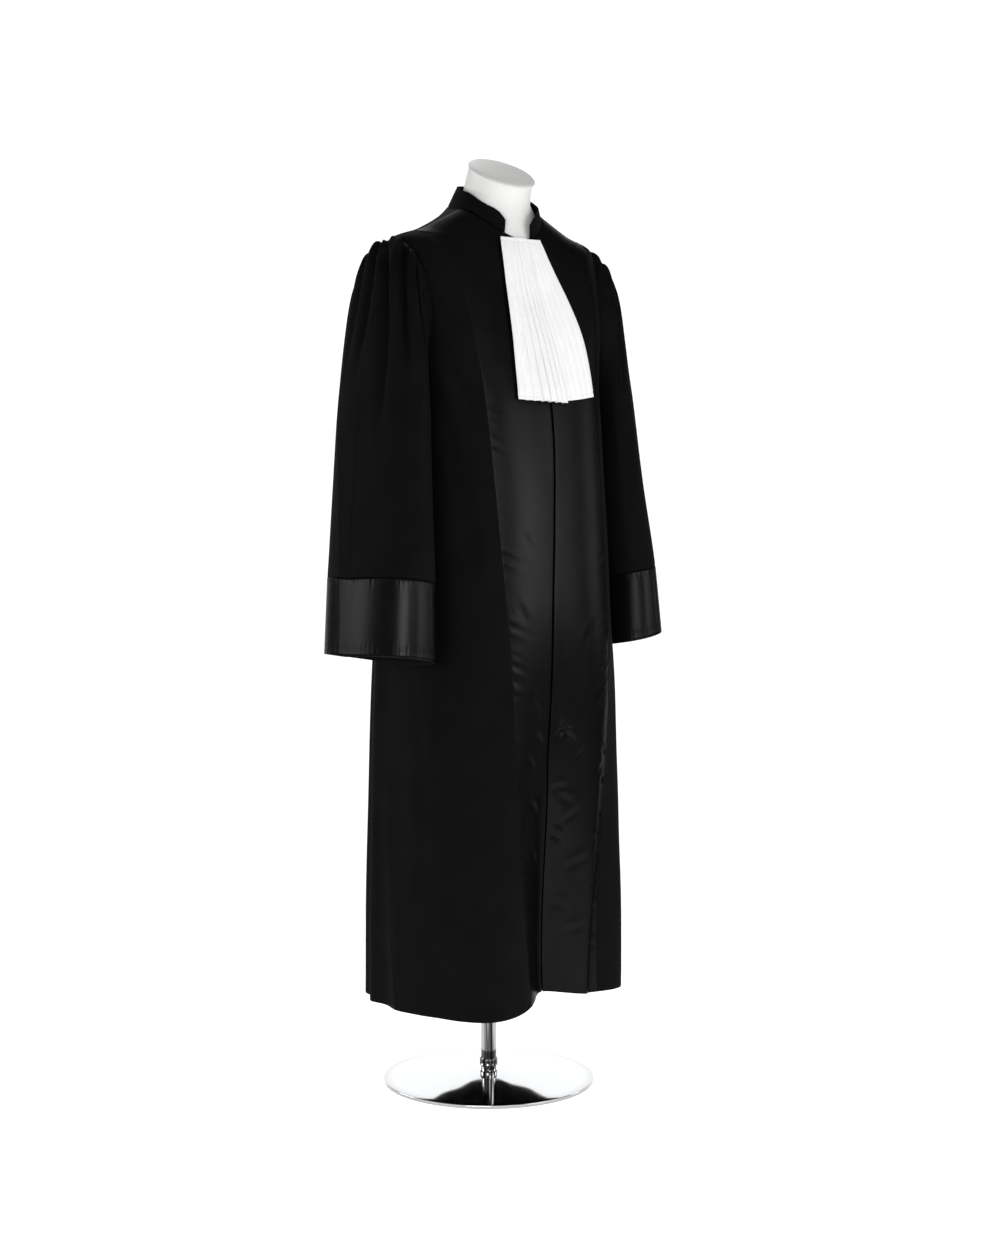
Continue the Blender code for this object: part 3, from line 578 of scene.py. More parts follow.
def armhole_ring(side, count):
    """The armhole's edge, evenly spaced between its solid's corners, with the ways into
    the hole and out of the cloth.
    """
    hole = [ARMPIT + (SHOULDER_TIP - ARMPIT) * step for step in ARMHOLE_STEPS]
    corner = np.array([SHOULDER_TIP, *reversed(hole), ARMPIT, *hole, SHOULDER_TIP])
    place = np.arange(count) * (len(corner) - 1) / count
    level = np.interp(place, np.arange(len(corner)), corner)
    part = np.where(place < 1 + len(hole), -1.0, 1.0)
    angle = side * (90.0 + part * armhole_half_angle(level))
    points = body_point(angle, level)
    outside = body_normal(angle, level)
    run = np.roll(points, -1, axis=0) - np.roll(points, 1, axis=0)
    into = unit(np.cross(outside, unit(run)))
    middle = points.mean(axis=0)
    facing = np.sum(into * (middle - points), axis=-1, keepdims=True)
    return points, into * np.sign(facing), outside


SLEEVE_SIDES = 360
SLEEVE_LENGTH = 0.72
# How far the sleeve's hidden first ring lies beside the armhole's edge, and under it.
SLEEVE_TUCK = (0.0030, 0.0014)
# A row a gather: its angles at the sleeve's head and end, depth, half width in degrees,
# and the levels where it is highest and where it has faded away.
GATHERS = (
    (-76.0, -92.0, 0.0080, 8.0, 0.14, 0.60),
    (-54.0, -66.0, 0.0090, 7.0, 0.12, 0.48),
    (-34.0, -40.0, 0.0090, 7.0, 0.11, 0.56),
    (-16.0, -18.0, 0.0080, 6.5, 0.10, 0.42),
    (2.0, 3.0, 0.0090, 6.5, 0.10, 0.52),
    (19.0, 26.0, 0.0080, 6.5, 0.10, 0.44),
    (36.0, 48.0, 0.0100, 7.0, 0.11, 0.74),
    (54.0, 70.0, 0.0100, 7.0, 0.12, 0.60),
    (75.0, 92.0, 0.0090, 8.0, 0.14, 0.80),
    (112.0, 118.0, 0.0040, 9.0, 0.30, 1.20),
    (-112.0, -118.0, 0.0040, 9.0, 0.30, 1.20),
)
FRONT_RISE = 0.011
GATHER_SHARE = 0.40
FULLNESS = 0.0030
TUCK_COUNT = 58
TUCK_DEPTH = 0.0022
TUCK_SPREAD = 98.0
TUCK_WIDTH = 1.1

# The deep troughs between the gathers: the tube angles that each one passes at five
# levels, then its depth, half width in degrees, and the level where it has faded away.
TROUGH_LEVELS = (0.0, 0.12, 0.20, 0.32, 0.50)
TROUGHS = (
    (-74.0, -68.0, -64.0, -66.0, -70.0, 0.0070, 3.4, 0.40),
    (-54.0, -47.0, -43.0, -45.0, -48.0, 0.0070, 3.2, 0.36),
    (-34.0, -27.0, -22.0, -24.0, -28.0, 0.0080, 3.0, 0.42),
    (-16.0, -9.0, -4.0, -5.0, -8.0, 0.0140, 2.6, 0.48),
    (-7.0, 2.0, 12.5, 20.0, 25.0, 0.0200, 3.6, 0.62),
    (14.0, 31.0, 39.0, 53.0, 60.0, 0.0190, 3.5, 0.42),
    (27.0, 38.0, 44.0, 50.0, 56.0, 0.0120, 2.0, 0.26),
    (40.0, 58.0, 80.0, 96.0, 104.0, 0.0120, 2.6, 0.32),
    (62.0, 74.0, 96.0, 110.0, 118.0, 0.0050, 2.4, 0.24),
)


def sleeve_rings(side):
    start, into, outside = armhole_ring(side, SLEEVE_SIDES)
    tucked = start - SLEEVE_TUCK[0] * into - SLEEVE_TUCK[1] * outside
    angle = np.arange(SLEEVE_SIDES) * 360.0 / SLEEVE_SIDES
    ahead, across = ways(angle)
    power = 2.0 / SLEEVE_SQUARENESS
    across = np.sign(across) * np.abs(across) ** power
    ahead = np.sign(ahead) * np.abs(ahead) ** power
    rings = [start]
    for level, outer_x, outer_z, inner_x, inner_z, middle_y, half_depth in SLEEVE_RINGS[side]:
        x = 0.5 * (outer_x + inner_x) + 0.5 * (outer_x - inner_x) * across
        z = 0.5 * (outer_z + inner_z) + 0.5 * (outer_z - inner_z) * across
        z = z + FRONT_RISE * ease((level - 0.4) / 0.4) * np.clip(ahead, 0.0, 1.0)
        rings.append(np.stack([x, middle_y - half_depth * ahead, z], axis=-1))
    places = np.array([0.0] + [row[0] for row in SLEEVE_RINGS[side]])
    return places, np.array(rings), angle, tucked


def smooth_rings(places, rings, levels):
    """All the rings of a tube at many levels, each corner on its own smooth curve."""
    found = np.empty((len(levels), *rings.shape[1:]))
    for corner in range(rings.shape[1]):
        for axis in range(3):
            found[:, corner, axis] = smooth_value(places, rings[:, corner, axis], levels)
    return found


def tube_normals(grid, side):
    around = np.roll(grid, -1, axis=1) - np.roll(grid, 1, axis=1)
    along = np.gradient(grid, axis=0)
    return unit(np.cross(along, around)) * -side


def gather_height(angle, level):
    height = np.zeros(np.broadcast(angle, level).shape)
    for head_angle, end_angle, depth, width, peak, fade in GATHERS:
        middle = head_angle * (1.0 - level) + end_angle * level
        near = bell(turn_between(angle, middle), width)
        past = (level - peak) / (fade - peak)
        height += depth * near * ease(level / peak) * (1.0 - ease(past))
    full = ease(level / 0.1) * (1.0 - ease((level - 0.2) / 0.5))
    sides = 1.0 - ease((np.abs(turn_between(angle, 0.0)) - 80.0) / 30.0)
    return GATHER_SHARE * height + FULLNESS * full * sides


def trough_height(angle, level):
    height = np.zeros(np.broadcast(angle, level).shape)
    for *places, depth, width, end in TROUGHS:
        middle = np.interp(level, TROUGH_LEVELS, places)
        near = bell(turn_between(angle, middle), width * (1.0 + 1.2 * level))
        fade = 1.0 - ease((level - 0.45 * end) / (0.55 * end))
        height -= depth * near * ease((level - 0.02) / 0.07) * fade
    return height


def tuck_height(angle, level, seed):
    """The small tucks that the gathering thread draws up along the sleeve's head."""
    rng = np.random.RandomState(seed)
    height = np.zeros(np.broadcast(angle, level).shape)
    for i in range(TUCK_COUNT):
        place = 2.0 * TUCK_SPREAD * (i + rng.uniform(-0.25, 0.25)) / TUCK_COUNT
        middle = (place - TUCK_SPREAD) * (1.0 + 0.3 * level)
        reach = rng.uniform(0.03, 0.11)
        depth = TUCK_DEPTH * rng.uniform(0.5, 1.0)
        near = bell(turn_between(angle, middle), TUCK_WIDTH)
        height += depth * near * bell(level, reach)
    return height * ease(level / 0.012)


PRESSED_FOLD = ((0.40, -45.0), (0.50, -38.0), (0.65, -21.0), (0.82, -11.0), (1.00, -6.0))
PRESSED_DEPTH = 0.0024
FLUTE_WAVES = ((0.105, 0.55, 0.10), (0.071, 0.35, 0.45))
SLEEVE_WAVE = 0.0010
FLUTE_DEPTH = 0.0011


def sleeve_relief(angle, level, points, seed):
    height = gather_height(angle, level) + tuck_height(angle, level, seed)
    height += trough_height(angle, level)
    up = points[..., 2]
    around = np.radians(angle) * SLEEVE_RADIUS
    slow = ripple(around + 0.3 * up, SLACK_WAVES)
    flutes = ripple(around + 0.05 * up, FLUTE_WAVES)
    height += SLEEVE_WAVE * slow * ease(level / 0.05)
    height += FLUTE_DEPTH * flutes * ease((level - 0.3) / 0.7)
    fold = np.array(PRESSED_FOLD)
    middle = np.interp(level, fold[:, 0], fold[:, 1])
    crest = np.exp(-np.abs(turn_between(angle, middle)) / 7.0)
    return height + PRESSED_DEPTH * crest * ease((level - 0.38) / 0.2)


CUFF_PUCKER_WAVES = ((0.0092, 0.55, 0.0), (0.0131, 0.35, 0.4), (0.0210, 0.30, 0.7))
CUFF_STITCH = 0.012


def cuff_relief(angle, level):
    """Puckers under the cuff's seam and over its hem, and the hem's stitch line."""
    around = np.radians(angle) * SLEEVE_RADIUS
    under = (level - CUFF_SEAM) * SLEEVE_LENGTH
    height = -0.0009 * bell(under, SEAM_DIP_WIDTH)
    top = np.where(under > 0.0, np.exp(-np.abs(under) / 0.008), 0.0)
    height = height + 0.0006 * ripple(around, CUFF_PUCKER_WAVES) * top
    from_stitch = (1.0 - level) * SLEEVE_LENGTH - CUFF_STITCH
    height = height - 0.0004 * bell(from_stitch, 0.0016)
    pull = 0.0003 * ripple(around + 0.3, CUFF_PUCKER_WAVES)
    return height + pull * bell(from_stitch, 0.008)


def make_sleeves(wool, satin):
    for side, word in SIDE_WORDS.items():
        places, rings, angle, tucked = sleeve_rings(side)
        levels = np.concatenate([np.linspace(0.0, 0.24, 44), np.linspace(0.25, 0.79, 46),
                                 np.linspace(0.80, 0.845, 12), np.linspace(0.85, 1.0, 20)])
        grid = smooth_rings(places, rings, levels)
        normals = tube_normals(grid, side)
        level = levels[:, None]
        height = sleeve_relief(angle[None, :], level, grid, TUCK_SEEDS[side])
        # The folds of the sleeve are weaker in the cuff.
        height = height * (1.0 - 0.7 * ease((level - 0.76) / 0.09))
        height += cuff_relief(angle[None, :], level)
        outer = grid + normals * height[..., None]
        cut = int(np.searchsorted(levels, CUFF_SEAM))
        gap = np.array([0.0, 0.0, SEAM])
        sleeve = np.concatenate([tucked[None], outer[:cut + 1]])
        cuff = outer[cut:].copy()
        cuff[0] = cuff[0] - gap
        if side < 0.0:
            # The right sleeve's rings run the other way round.
            sleeve, cuff = (sleeve[:, ::-1], cuff[:, ::-1])
        sleeve_made = cloth("robe_sleeve_" + word, sleeve, wool, ring=True)
        cuff_made = cloth("robe_cuff_" + word, cuff, satin, ring=True,
                          reverse=wool)
        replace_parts(sleeve_made, "sleeve_" + word)
        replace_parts(cuff_made, "cuff_" + word)


COLLAR_TOP = dict(side_z=1.587, front_z=1.534, back_z=1.599, half_width=0.067,
                  front_depth=0.076, back_depth=0.082, middle_x=0.0, middle_y=-0.030,
                  squareness=2.0)
COLLAR_LIFT = 0.0002
COLLAR_DIPS = ((74.0, 32.0, 0.016), (-64.0, 30.0, 0.012))
COLLAR_BACK_RISE = 0.003
COLLAR_ENDS = (11.0, 334.0)
COLLAR_CORNER = 0.35


def collar_point(angle, share):
    foot = body_point(angle, 1.0) + np.array([0.0, 0.0, COLLAR_LIFT])
    top = oval_point(angle, COLLAR_TOP)
    for place, width, depth in COLLAR_DIPS:
        top[..., 2] -= depth * bell(turn_between(angle, place), width)
    behind = ease((np.abs(turn_between(angle, 0.0)) - 98.0) / 34.0)
    top[..., 2] += COLLAR_BACK_RISE * behind
    share = np.broadcast_to(share, angle.shape)[..., None]
    return foot * (1.0 - share) + top * share


COLLAR_HEIGHT = 0.036
COLLAR_WALL = 0.0022
COLLAR_STITCH = 0.0040
# How far the collar's foot goes in and down behind the robe's neckline.
COLLAR_FOOT = (0.0022, 0.0030)
EYELETS = ((-52.0, 0.86), (-36.0, 0.86))
EYELET_RADIUS = 0.0011
EYELET_DEPTH = 0.0012


def make_collar(wool):
    columns, rows = 260, 34
    angle = np.linspace(COLLAR_ENDS[0], COLLAR_ENDS[1], columns)
    ends = np.minimum(angle - angle[0], angle[-1] - angle)
    corner = COLLAR_CORNER * np.clip(1.0 - ends / 20.0, 0.0, 1.0) ** 2.2
    angle = np.repeat(angle[None, :], rows, axis=0)
    part = np.linspace(0.0, 1.0, rows)[:, None]
    share = part * (1.0 - corner)[None, :]
    skin = collar_point(angle, share)
    out = outward(collar_point, angle, share)
    from_edge = np.minimum((1.0 - part) * COLLAR_HEIGHT, ends[None, :] * 0.0012)
    height = -0.0004 * bell(from_edge - COLLAR_STITCH, 0.0011)
    height -= 0.0006 * bell(part * COLLAR_HEIGHT, 0.0020)
    for place, up in EYELETS:
        aside = np.radians(turn_between(angle, place)) * COLLAR_RADIUS
        above = (share - up) * COLLAR_HEIGHT
        height -= EYELET_DEPTH * np.exp(-(aside ** 2 + above ** 2) / EYELET_RADIUS ** 2)
    outer = skin + height[..., None] * out
    foot = skin[0] - COLLAR_FOOT[0] * out[0] - np.array([0.0, 0.0, COLLAR_FOOT[1]])
    outer = np.concatenate([foot[None], outer])
    made = cloth("robe_collar", outer, wool, thickness=COLLAR_WALL)
    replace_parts(made, "collar")


JABOT_ROWS = (
    (0.00, 1.000, -32.0, 25.0),
    (0.20, 0.945, -27.0, 29.0),
    (0.45, 0.880, -23.5, 34.0),
    (0.70, 0.825, -21.5, 38.5),
    (1.00, 0.771, -21.0, 41.0),
)
JABOT_WALL = 0.0009
JABOT_CLEAR = 0.0012
JABOT_PLEATS = 12
JABOT_BOX_PLEAT = 0.56
JABOT_LAYER = 0.0040
JABOT_STEP = 0.0030
JABOT_LENGTH = 0.29
JABOT_STRAIGHT = 0.057
JABOT_FINE_PLEATS = 36
JABOT_FINE_DEPTH = 0.0011
JABOT_GROOVE = 0.25


def make_jabot(cotton):
    """Knife pleats under an upper layer that ends in a box pleat, with a stitched hem."""
    jabot = table(("share", "level", "right_edge", "left_edge"), JABOT_ROWS)
    share = np.concatenate([np.linspace(0.0, 0.04, 14), np.linspace(0.05, 0.94, 66),
                            np.linspace(0.945, 1.0, 22)])
    columns = 24 * JABOT_PLEATS + 1
    places = np.linspace(0.0, 1.0, columns)
    level = np.repeat(smooth_value(jabot["share"], jabot["level"], share)[:, None],
                      columns, axis=1)
    right = smooth_value(jabot["share"], jabot["right_edge"], share)[:, None]
    left = smooth_value(jabot["share"], jabot["left_edge"], share)[:, None]
    angle = right * (1.0 - places) + left * places
    straight = JABOT_STRAIGHT * np.sin(np.radians(angle)) ** 2 * (1.0 - share[:, None]) ** 2
    over = 1.0 - ease((places - JABOT_BOX_PLEAT) * 4.0 * JABOT_PLEATS)
    longer = JABOT_STEP * over * (places / JABOT_BOX_PLEAT) ** 2
    level = level - straight - longer * share[:, None] ** 6
    wander = 0.12 * np.sin(5.3 * places + 2.6 * share[:, None])
    within = (places[None, :] * JABOT_PLEATS + wander) % 1.0
    rise = ease(np.minimum(within, 1.0 - within) / JABOT_GROOVE) * (0.80 + 0.20 * within)
    ends = np.minimum(places, 1.0 - places) * JABOT_PLEATS
    rise = rise * ease(ends / JABOT_GROOVE)[None, :]
    layer = JABOT_LAYER * over
    deep = 0.50 + 2.20 * bell(places - 0.36, 0.17)
    depth = (0.0012 + 0.0034 * share)[:, None] * deep[None, :]
    fine = np.abs((places * JABOT_FINE_PLEATS) % 1.0 - 0.5)[None, :]
    fine = JABOT_FINE_DEPTH * fine * (1.0 - ease(share / 0.35))[:, None]
    above = ((1.0 - share) * JABOT_LENGTH)[:, None]
    stitch = -0.0009 * bell(above - 0.0080, 0.0010)
    top = -0.0008 * bell(JABOT_LENGTH - above - 0.0060, 0.0012)
    height = JABOT_CLEAR + layer[None, :] + depth * rise + fine + stitch + top + JABOT_WALL
    outer = body_point(angle, level) + body_normal(angle, level) * height[..., None]
    made = cloth("jabot_pleated", outer, cotton, thickness=JABOT_WALL)
    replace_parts(made, "jabot")


def node_graph(name):
    made = bpy.data.materials.new(name)
    made.use_nodes = True
    nodes = made.node_tree.nodes
    return made, nodes, made.node_tree.links, nodes["Principled BSDF"]


def settings(node, **inputs):
    """Values for a node's inputs, with _ for each space in an input's name."""
    for key, value in inputs.items():
        node.inputs[key.replace("_", " ")].default_value = value


def noise(nodes, links, scale, detail, up=1.0):
    """Noise in the object's own space, drawn out along Z where up is small."""
    where = nodes.new("ShaderNodeTexCoord")
    stretch = nodes.new("ShaderNodeMapping")
    settings(stretch, Scale=(1.0, 1.0, up))
    links.new(where.outputs["Object"], stretch.inputs["Vector"])
    node = nodes.new("ShaderNodeTexNoise")
    settings(node, Scale=scale, Detail=detail)
    links.new(stretch.outputs["Vector"], node.inputs["Vector"])
    return node.outputs["Fac"]


def ramp_between(nodes, links, value, low_colour, high_colour, low=0.3, high=0.7):
    ramp = nodes.new("ShaderNodeValToRGB")
    ramp.color_ramp.elements[0].position = low
    ramp.color_ramp.elements[1].position = high
    ramp.color_ramp.elements[0].color = (*low_colour, 1.0)
    ramp.color_ramp.elements[1].color = (*high_colour, 1.0)
    links.new(value, ramp.inputs["Fac"])
    return ramp.outputs["Color"]


def bump(nodes, links, value, strength, distance):
    node = nodes.new("ShaderNodeBump")
    settings(node, Strength=strength, Distance=distance)
    links.new(value, node.inputs["Height"])
    return node.outputs["Normal"]


def range_between(nodes, links, value, low, high):
    node = nodes.new("ShaderNodeMapRange")
    settings(node, To_Min=low, To_Max=high)
    links.new(value, node.inputs["Value"])
    return node.outputs["Result"]


def mottled(name, colours, cloud, grain, strength, distance=0.0003, rough=None, **looks):
    """A finish with a cloud in its colour, and in its roughness too, and a fine grain.

    The cloud and the grain are what noise takes: a scale, a detail and how it runs in Z.
    """
    made, nodes, links, shader = node_graph(name)
    cloud = noise(nodes, links, *cloud)
    links.new(ramp_between(nodes, links, cloud, *colours), shader.inputs["Base Color"])
    if rough:
        links.new(range_between(nodes, links, cloud, *rough), shader.inputs["Roughness"])
    grain = noise(nodes, links, *grain)
    links.new(bump(nodes, links, grain, strength, distance), shader.inputs["Normal"])
    settings(shader, **looks)
    return made


# Painted reflection: a darker chrome colour that stands in for darker surroundings, over the
# whole pole and at the base's thin edge.
PAINTED_REFLECTION_GREY = (0.42, 0.42, 0.43)


def chrome_material(name, reflection_streaks=False):
    """Chrome with upright stripes of painted reflection for the pole, or painted darker
    reflection at the base's thin edge.
    """
    made, nodes, links, shader = node_graph(name)
    smear = noise(nodes, links, 22.0, 5.0)
    links.new(range_between(nodes, links, smear, 0.03, 0.09), shader.inputs["Roughness"])
    if reflection_streaks:
        # Painted reflection: upright dark stripes in the pole's colour.
        grain = noise(nodes, links, 190.0, 2.0, up=0.02)
        colour = ramp_between(nodes, links, grain, (0.02, 0.02, 0.02), PAINTED_REFLECTION_GREY,
                              low=0.40, high=0.60)
    else:
        where = nodes.new("ShaderNodeTexCoord")
        split = nodes.new("ShaderNodeSeparateXYZ")
        links.new(where.outputs["Object"], split.inputs["Vector"])
        # Painted reflection: below this height the base's edge is darker chrome.
        colour = ramp_between(nodes, links, split.outputs["Z"], PAINTED_REFLECTION_GREY,
                              (0.86, 0.87, 0.88), low=0.0052, high=0.0062)
    links.new(colour, shader.inputs["Base Color"])
    settings(shader, Metallic=1.0)
    return made


FORM_INSETS = (
    (0.40, 0.055),
    (0.50, 0.048),
    (0.62, 0.058),
    (0.76, 0.030),
    (0.82, 0.014),
    (0.88, 0.006),
    (0.92, 0.0048),
    (0.950, 0.0052),
    (0.978, 0.0034),
    (1.00, 0.0060),
)
NECK_RINGS = (
    (1.570, -0.022, 0.0604, 10.0),
    (1.583, -0.026, 0.0592, 15.0),
    (1.596, -0.030, 0.0583, 20.0),
    (1.606, -0.0345, 0.0583, 24.0),
    (1.615, -0.039, 0.0590, 28.0),
)
FORM_SIDES = 120
FORM_BOTTOM_LEVEL = 0.42
FORM_BOTTOM_DROP = 0.012
FORM_FRONT_INSET = 0.0018
CAP_RADIUS = 0.0605
CAP_EDGE = 0.0035
CAP_RISE = 0.0055
# A turned piece's ends close at this radius.
PIN = 0.0001


def plain_body_point(angle, level):
    return body_point(angle, level, folded=False)


def tilted_ring(height, middle_y, radius, tilt, angle):
    across, ahead = ways(angle)
    lean = math.radians(tilt)
    return np.stack([radius * across, middle_y - radius * ahead * math.cos(lean),
                     height - radius * ahead * math.sin(lean)], axis=-1)


def make_form(white, shaded_white):
    """The dress form inside the robe, as far as the neck that shows, and its cap."""
    insets = table(("level", "inset"), FORM_INSETS)
    turn = np.arange(FORM_SIDES) * 2.0 * math.pi / FORM_SIDES
    # More of the ring's points lie at its narrow sides.
    angle = np.degrees(np.arctan2(np.sin(turn), 0.55 * np.cos(turn)))
    rings = []
    for level in np.linspace(FORM_BOTTOM_LEVEL, TOP_LEVEL, 60):
        level = np.full(FORM_SIDES, level)
        inset = look_up(insets, "inset", level)
        inset = inset + FORM_FRONT_INSET * np.clip(4.0 * np.cos(np.radians(angle)), 0.0, 1.0)
        out = outward(plain_body_point, angle, level)
        rings.append(plain_body_point(angle, level) - inset[:, None] * out)
    bottom = rings[0].copy()
    bottom[:, 2] = bottom[:, 2].min() - FORM_BOTTOM_DROP
    centre = bottom.mean(axis=0)
    rings.insert(0, centre + (bottom - centre) * 0.86)
    neck = table(("height", "middle_y", "radius", "tilt"), NECK_RINGS)
    steps = np.arange(len(NECK_RINGS))
    for share in np.linspace(0.0, 1.0, 22):
        place = share * (len(NECK_RINGS) - 1)
        row = [float(smooth_value(steps, neck[key], place)) for key in neck]
        rings.append(tilted_ring(*row, angle))
    rings = np.array(rings)
    faces = grid_faces(*rings.shape[:2], ring=True)
    last = (len(rings) - 1) * FORM_SIDES
    faces.append(list(range(FORM_SIDES))[::-1])
    faces.append(list(range(last, last + FORM_SIDES)))
    torso = make_mesh("form_body", rings, faces, white)
    torso.data.set_sharp_from_angle(angle=math.radians(50.0))
    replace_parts(torso, "form_torso")
    height, middle_y, _, tilt = NECK_RINGS[-1]
    lean = math.radians(tilt)
    profile = [(PIN, CAP_EDGE + CAP_RISE)]
    for share in np.linspace(0.08, 1.0, 22):
        drop = CAP_RISE * (1.0 - math.sqrt(max(0.0, 1.0 - share ** 2.4)))
        profile.append((CAP_RADIUS * 0.975 * share, CAP_EDGE + CAP_RISE - drop))
    profile += [(CAP_RADIUS * 0.992, CAP_EDGE * 0.80), (CAP_RADIUS, CAP_EDGE * 0.55),
                (CAP_RADIUS, CAP_EDGE * 0.18), (CAP_RADIUS - 0.0006, 0.0), (PIN, 0.0)]
    # The cap takes the darker white: painted shade.
    cap = turned("form_cap", profile, 128, shaded_white)
    cap.location = (0.0, middle_y - SEAM * math.sin(lean), height + SEAM * math.cos(lean))
    cap.rotation_euler = (lean, 0.0, 0.0)
    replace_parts(cap, "neck_cap")


def turned(name, profile, steps, finish, closed=False):
    """A turned piece from a profile of (radius, height), given from its top down.

    A closed profile makes a ring, and any other a solid piece with two ends.
    """
    around = np.arange(steps) * 2.0 * math.pi / steps
    radius = np.array([p[0] for p in profile])[:, None]
    height = np.array([p[1] for p in profile])[:, None]
    points = np.stack([radius * np.cos(around), radius * np.sin(around),
                       np.broadcast_to(height, (len(profile), steps))], axis=-1)
    faces = [face[::-1] for face in grid_faces(*points.shape[:2], ring=True)]
    last = (len(profile) - 1) * steps
    if closed:
        for step in range(steps):
            beside = (step + 1) % steps
            faces.append([beside, step, last + step, last + beside])
    else:
        faces.append(list(range(steps)))
        faces.append(list(range(last, last + steps))[::-1])
    made = make_mesh(name, points, faces, finish)
    made.data.set_sharp_from_angle(angle=math.radians(35.0))
    return made


POLE_RADIUS = 0.0135
BASE_RADIUS = 0.190
BASE_EDGE = 0.0065
BASE_BEVEL = 0.0012
BASE_RISE = 0.021
BASE_FLAT = 0.0150
RING_RADIUS = 0.0160
RING_BOTTOM = 0.027
RING_TOP = 0.040
RING_BEVEL = 0.0012
POLE_CHAMFER = 0.0005
EDGE_STEPS = 6


def round_edge(radius, height, bevel, lower=False):
    """Points down a rounded upper edge to its full radius, or down a lower one from it."""
    points = []
    for step in range(EDGE_STEPS + 1):
        turn = 0.5 * math.pi * step / EDGE_STEPS
        if lower:
            points.append((radius - bevel + bevel * math.cos(turn),
                           height + bevel - bevel * math.sin(turn)))
        else:
            points.append((radius - bevel + bevel * math.sin(turn),
                           height - bevel + bevel * math.cos(turn)))
    return points


def make_stand(chrome, pole_chrome_painted_reflection):
    profile = [(PIN, BASE_RISE), (0.0140, BASE_RISE)]
    for share in np.linspace(0.0, 1.0, 24):
        radius = BASE_FLAT + (BASE_RADIUS - BASE_BEVEL - BASE_FLAT) * share
        height = BASE_EDGE + (BASE_RISE - BASE_EDGE) * (1.0 - share)
        profile.append((radius, height))
    profile += round_edge(BASE_RADIUS, BASE_EDGE, BASE_BEVEL)[1:]
    profile += round_edge(BASE_RADIUS, 0.0, BASE_BEVEL, lower=True)
    profile.append((PIN, 0.0))
    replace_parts(turned("stand_base", profile, 192, chrome), "base")
    low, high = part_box("pole")
    narrow = POLE_RADIUS - POLE_CHAMFER
    pole = [(PIN, high.z), (narrow, high.z), (POLE_RADIUS, high.z - POLE_CHAMFER),
            (POLE_RADIUS, low.z + POLE_CHAMFER), (narrow, low.z), (PIN, low.z)]
    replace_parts(turned("stand_pole", pole, 72, pole_chrome_painted_reflection), "pole")
    inner = POLE_RADIUS + SEAM
    ring = [(inner, RING_TOP), *round_edge(RING_RADIUS, RING_TOP, RING_BEVEL),
            *round_edge(RING_RADIUS, RING_BOTTOM, RING_BEVEL, lower=True),
            (inner, RING_BOTTOM)]
    made = turned("stand_ring", ring, 72, pole_chrome_painted_reflection, closed=True)
    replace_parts(made, "pole_ring")


FLOOR_RADIUS = 1.45
FLOOR_SIDES = 180


def make_stage():
    turn = np.arange(FLOOR_SIDES) * 2.0 * math.pi / FLOOR_SIDES
    rim = np.stack([FLOOR_RADIUS * np.cos(turn), FLOOR_RADIUS * np.sin(turn), 0.0 * turn],
                   axis=-1)
    mesh = bpy.data.meshes.new("floor")
    mesh.from_pydata(rim.tolist(), [], [list(range(len(rim)))])
    floor = add_object("floor", mesh)
    made, *_, shader = node_graph("pale_floor")
    settings(shader, Base_Color=(0.92, 0.92, 0.92, 1.0), Roughness=0.9,
             Specular_IOR_Level=0.0, Emission_Color=(1.0, 1.0, 1.0, 1.0),
             Emission_Strength=0.72)
    mesh.materials.append(made)


def area_light(name, place, aim, width, height, power):
    light = bpy.data.lights.new(name, "AREA")
    light.shape = "RECTANGLE"
    light.size = width
    light.size_y = height
    light.energy = power
    made = add_object(name, light)
    made.location = place
    made.rotation_euler = (Vector(aim) - Vector(place)).to_track_quat("-Z", "Y").to_euler()


CAMERA_PLACE = (-2.351, -3.236, 1.138)
CAMERA_AIM = (0.0166, -0.0120, 0.825)
CAMERA_FORWARD = (0.588, 0.805, -0.078)


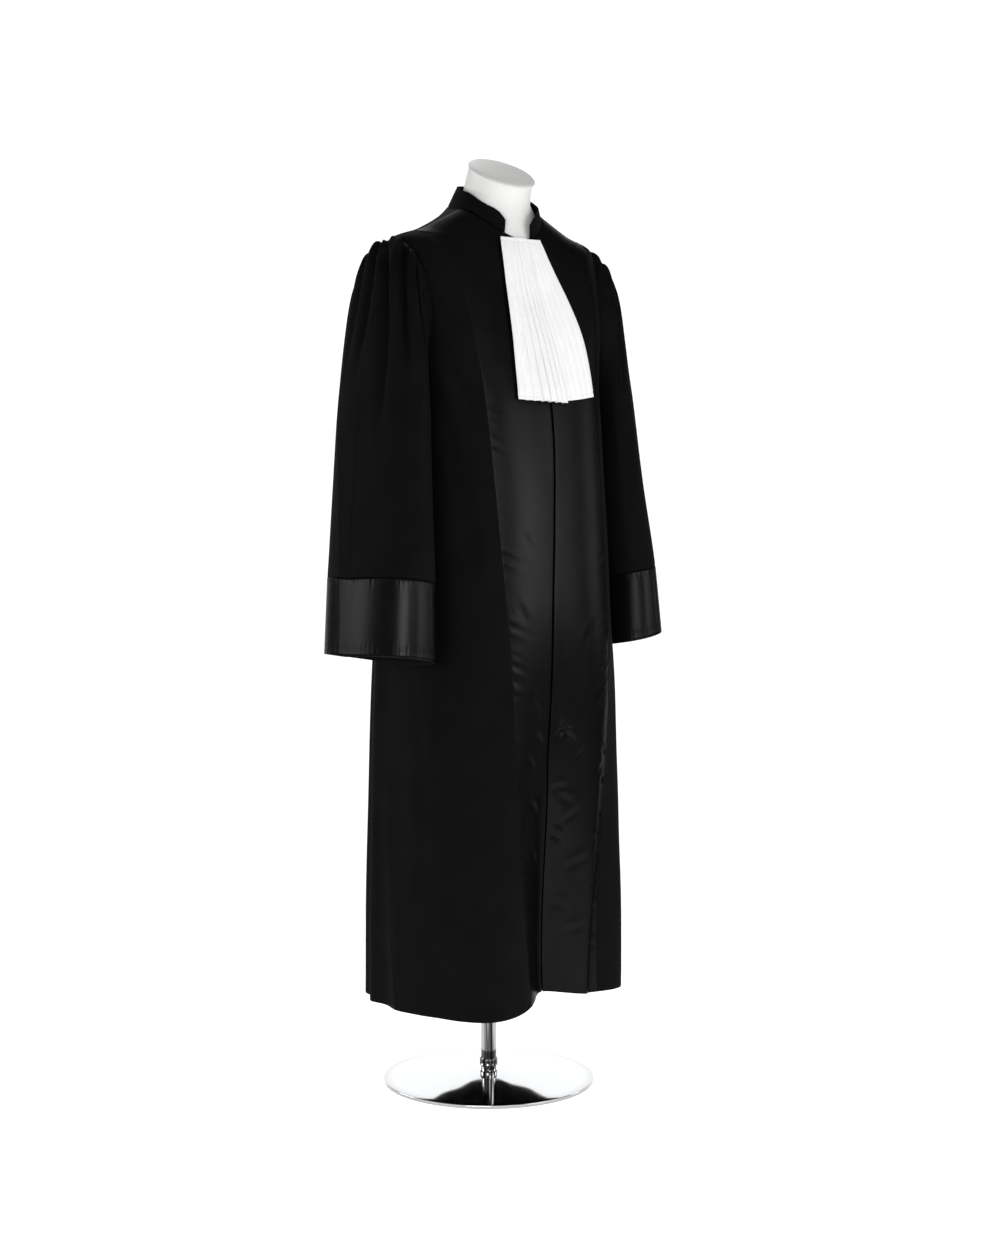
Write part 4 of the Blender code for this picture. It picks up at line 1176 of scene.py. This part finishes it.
def make_lights():
    """A white backdrop behind the robe, a dimmer room before it, and soft boxes."""
    world = bpy.data.worlds.new("studio")
    world.use_nodes = True
    nodes = world.node_tree.nodes
    links = world.node_tree.links
    where = nodes.new("ShaderNodeTexCoord")
    ahead = nodes.new("ShaderNodeVectorMath")
    ahead.operation = "DOT_PRODUCT"
    ahead.inputs[1].default_value = CAMERA_FORWARD
    links.new(where.outputs["Generated"], ahead.inputs[0])
    fade = nodes.new("ShaderNodeMapRange")
    fade.interpolation_type = "SMOOTHSTEP"
    settings(fade, From_Min=0.55, From_Max=0.92, To_Min=0.26, To_Max=1.12)
    links.new(ahead.outputs["Value"], fade.inputs["Value"])
    links.new(fade.outputs["Result"], nodes["Background"].inputs["Strength"])
    settings(nodes["Background"], Color=(1.0, 1.0, 1.0, 1.0))
    bpy.context.scene.world = world
    area_light("key", (-3.1, -2.9, 1.25), (0.0, 0.0, 1.05), 2.0, 1.1, 79.0)
    area_light("fill", (1.2, -4.1, 1.2), (0.0, 0.0, 1.0), 1.6, 1.0, 18.0)
    area_light("low", (0.75, -1.50, 1.14), (0.0, -0.1, 1.12), 1.2, 0.84, 8.0)
    area_light("front", (-0.62, -1.90, 1.20), (0.0, -0.1, 1.16), 0.9, 0.6, 4.4)
    area_light("side", (3.4, -1.0, 1.2), (0.0, 0.0, 0.9), 1.1, 1.1, 17.0)
    area_light("flank", (-2.6, 2.7, 1.2), (0.0, 0.0, 0.9), 1.6, 1.2, 44.0)
    area_light("top", (0.6, 1.4, 3.3), (0.0, 0.0, 1.4), 1.4, 1.4, 22.0)


def make_camera():
    data = bpy.data.cameras.new("camera")
    data.lens = 64.77
    data.sensor_width = 36.0
    made = add_object("camera", data)
    made.location = CAMERA_PLACE
    aim = Vector(CAMERA_AIM) - Vector(made.location)
    made.rotation_euler = aim.to_track_quat("-Z", "Y").to_euler()
    bpy.context.scene.camera = made
    bpy.context.scene.view_settings.view_transform = "Standard"


wool = mottled("wool_cloth", ((0.0038, 0.0037, 0.0039), (0.0051, 0.0050, 0.0052)),
               cloud=(14.0, 3.0), grain=(2600.0, 4.0, 0.35), strength=0.45, distance=0.0004,
               Roughness=0.78, Specular_IOR_Level=0.02, Sheen_Weight=0.004,
               Sheen_Roughness=0.5)
satin = mottled("satin_cloth", ((0.0100, 0.0099, 0.0099), (0.0120, 0.0119, 0.0119)),
                cloud=(30.0, 3.0, 0.4), grain=(3200.0, 3.0, 0.02), strength=0.16,
                rough=(0.27, 0.34), Metallic=0.78, Specular_IOR_Level=0.02,
                Specular_Tint=(0.42, 0.42, 0.42, 1.0))
cotton = mottled("cotton_cloth", ((0.85, 0.85, 0.85), (0.88, 0.88, 0.88)),
                 cloud=(40.0, 2.0), grain=(2400.0, 2.0), strength=0.25, Roughness=0.85,
                 Specular_IOR_Level=0.2)
form_white = mottled("form_paint", ((0.84, 0.84, 0.825), (0.87, 0.87, 0.855)),
                     cloud=(9.0, 2.0), grain=(420.0, 3.0), strength=0.06, Roughness=0.55)
# Painted shade: the cap is a darker copy of the form's white, for the shade on its top.
cap_shaded_white = mottled("cap_with_painted_shade", ((0.64, 0.64, 0.63), (0.68, 0.68, 0.67)),
                   cloud=(9.0, 2.0), grain=(420.0, 3.0), strength=0.06, Roughness=0.50)
# Both chrome colours hold painted reflection.
chrome = chrome_material("base_chrome_painted_rim")
pole_chrome_painted_reflection = chrome_material("pole_chrome_painted_reflection", reflection_streaks=True)
make_body(wool, satin)
make_sleeves(wool, satin)
make_collar(wool)
make_jabot(cotton)
make_form(form_white, cap_shaded_white)
make_stand(chrome, pole_chrome_painted_reflection)
make_stage()
make_lights()
make_camera()

bpy.context.view_layer.update()
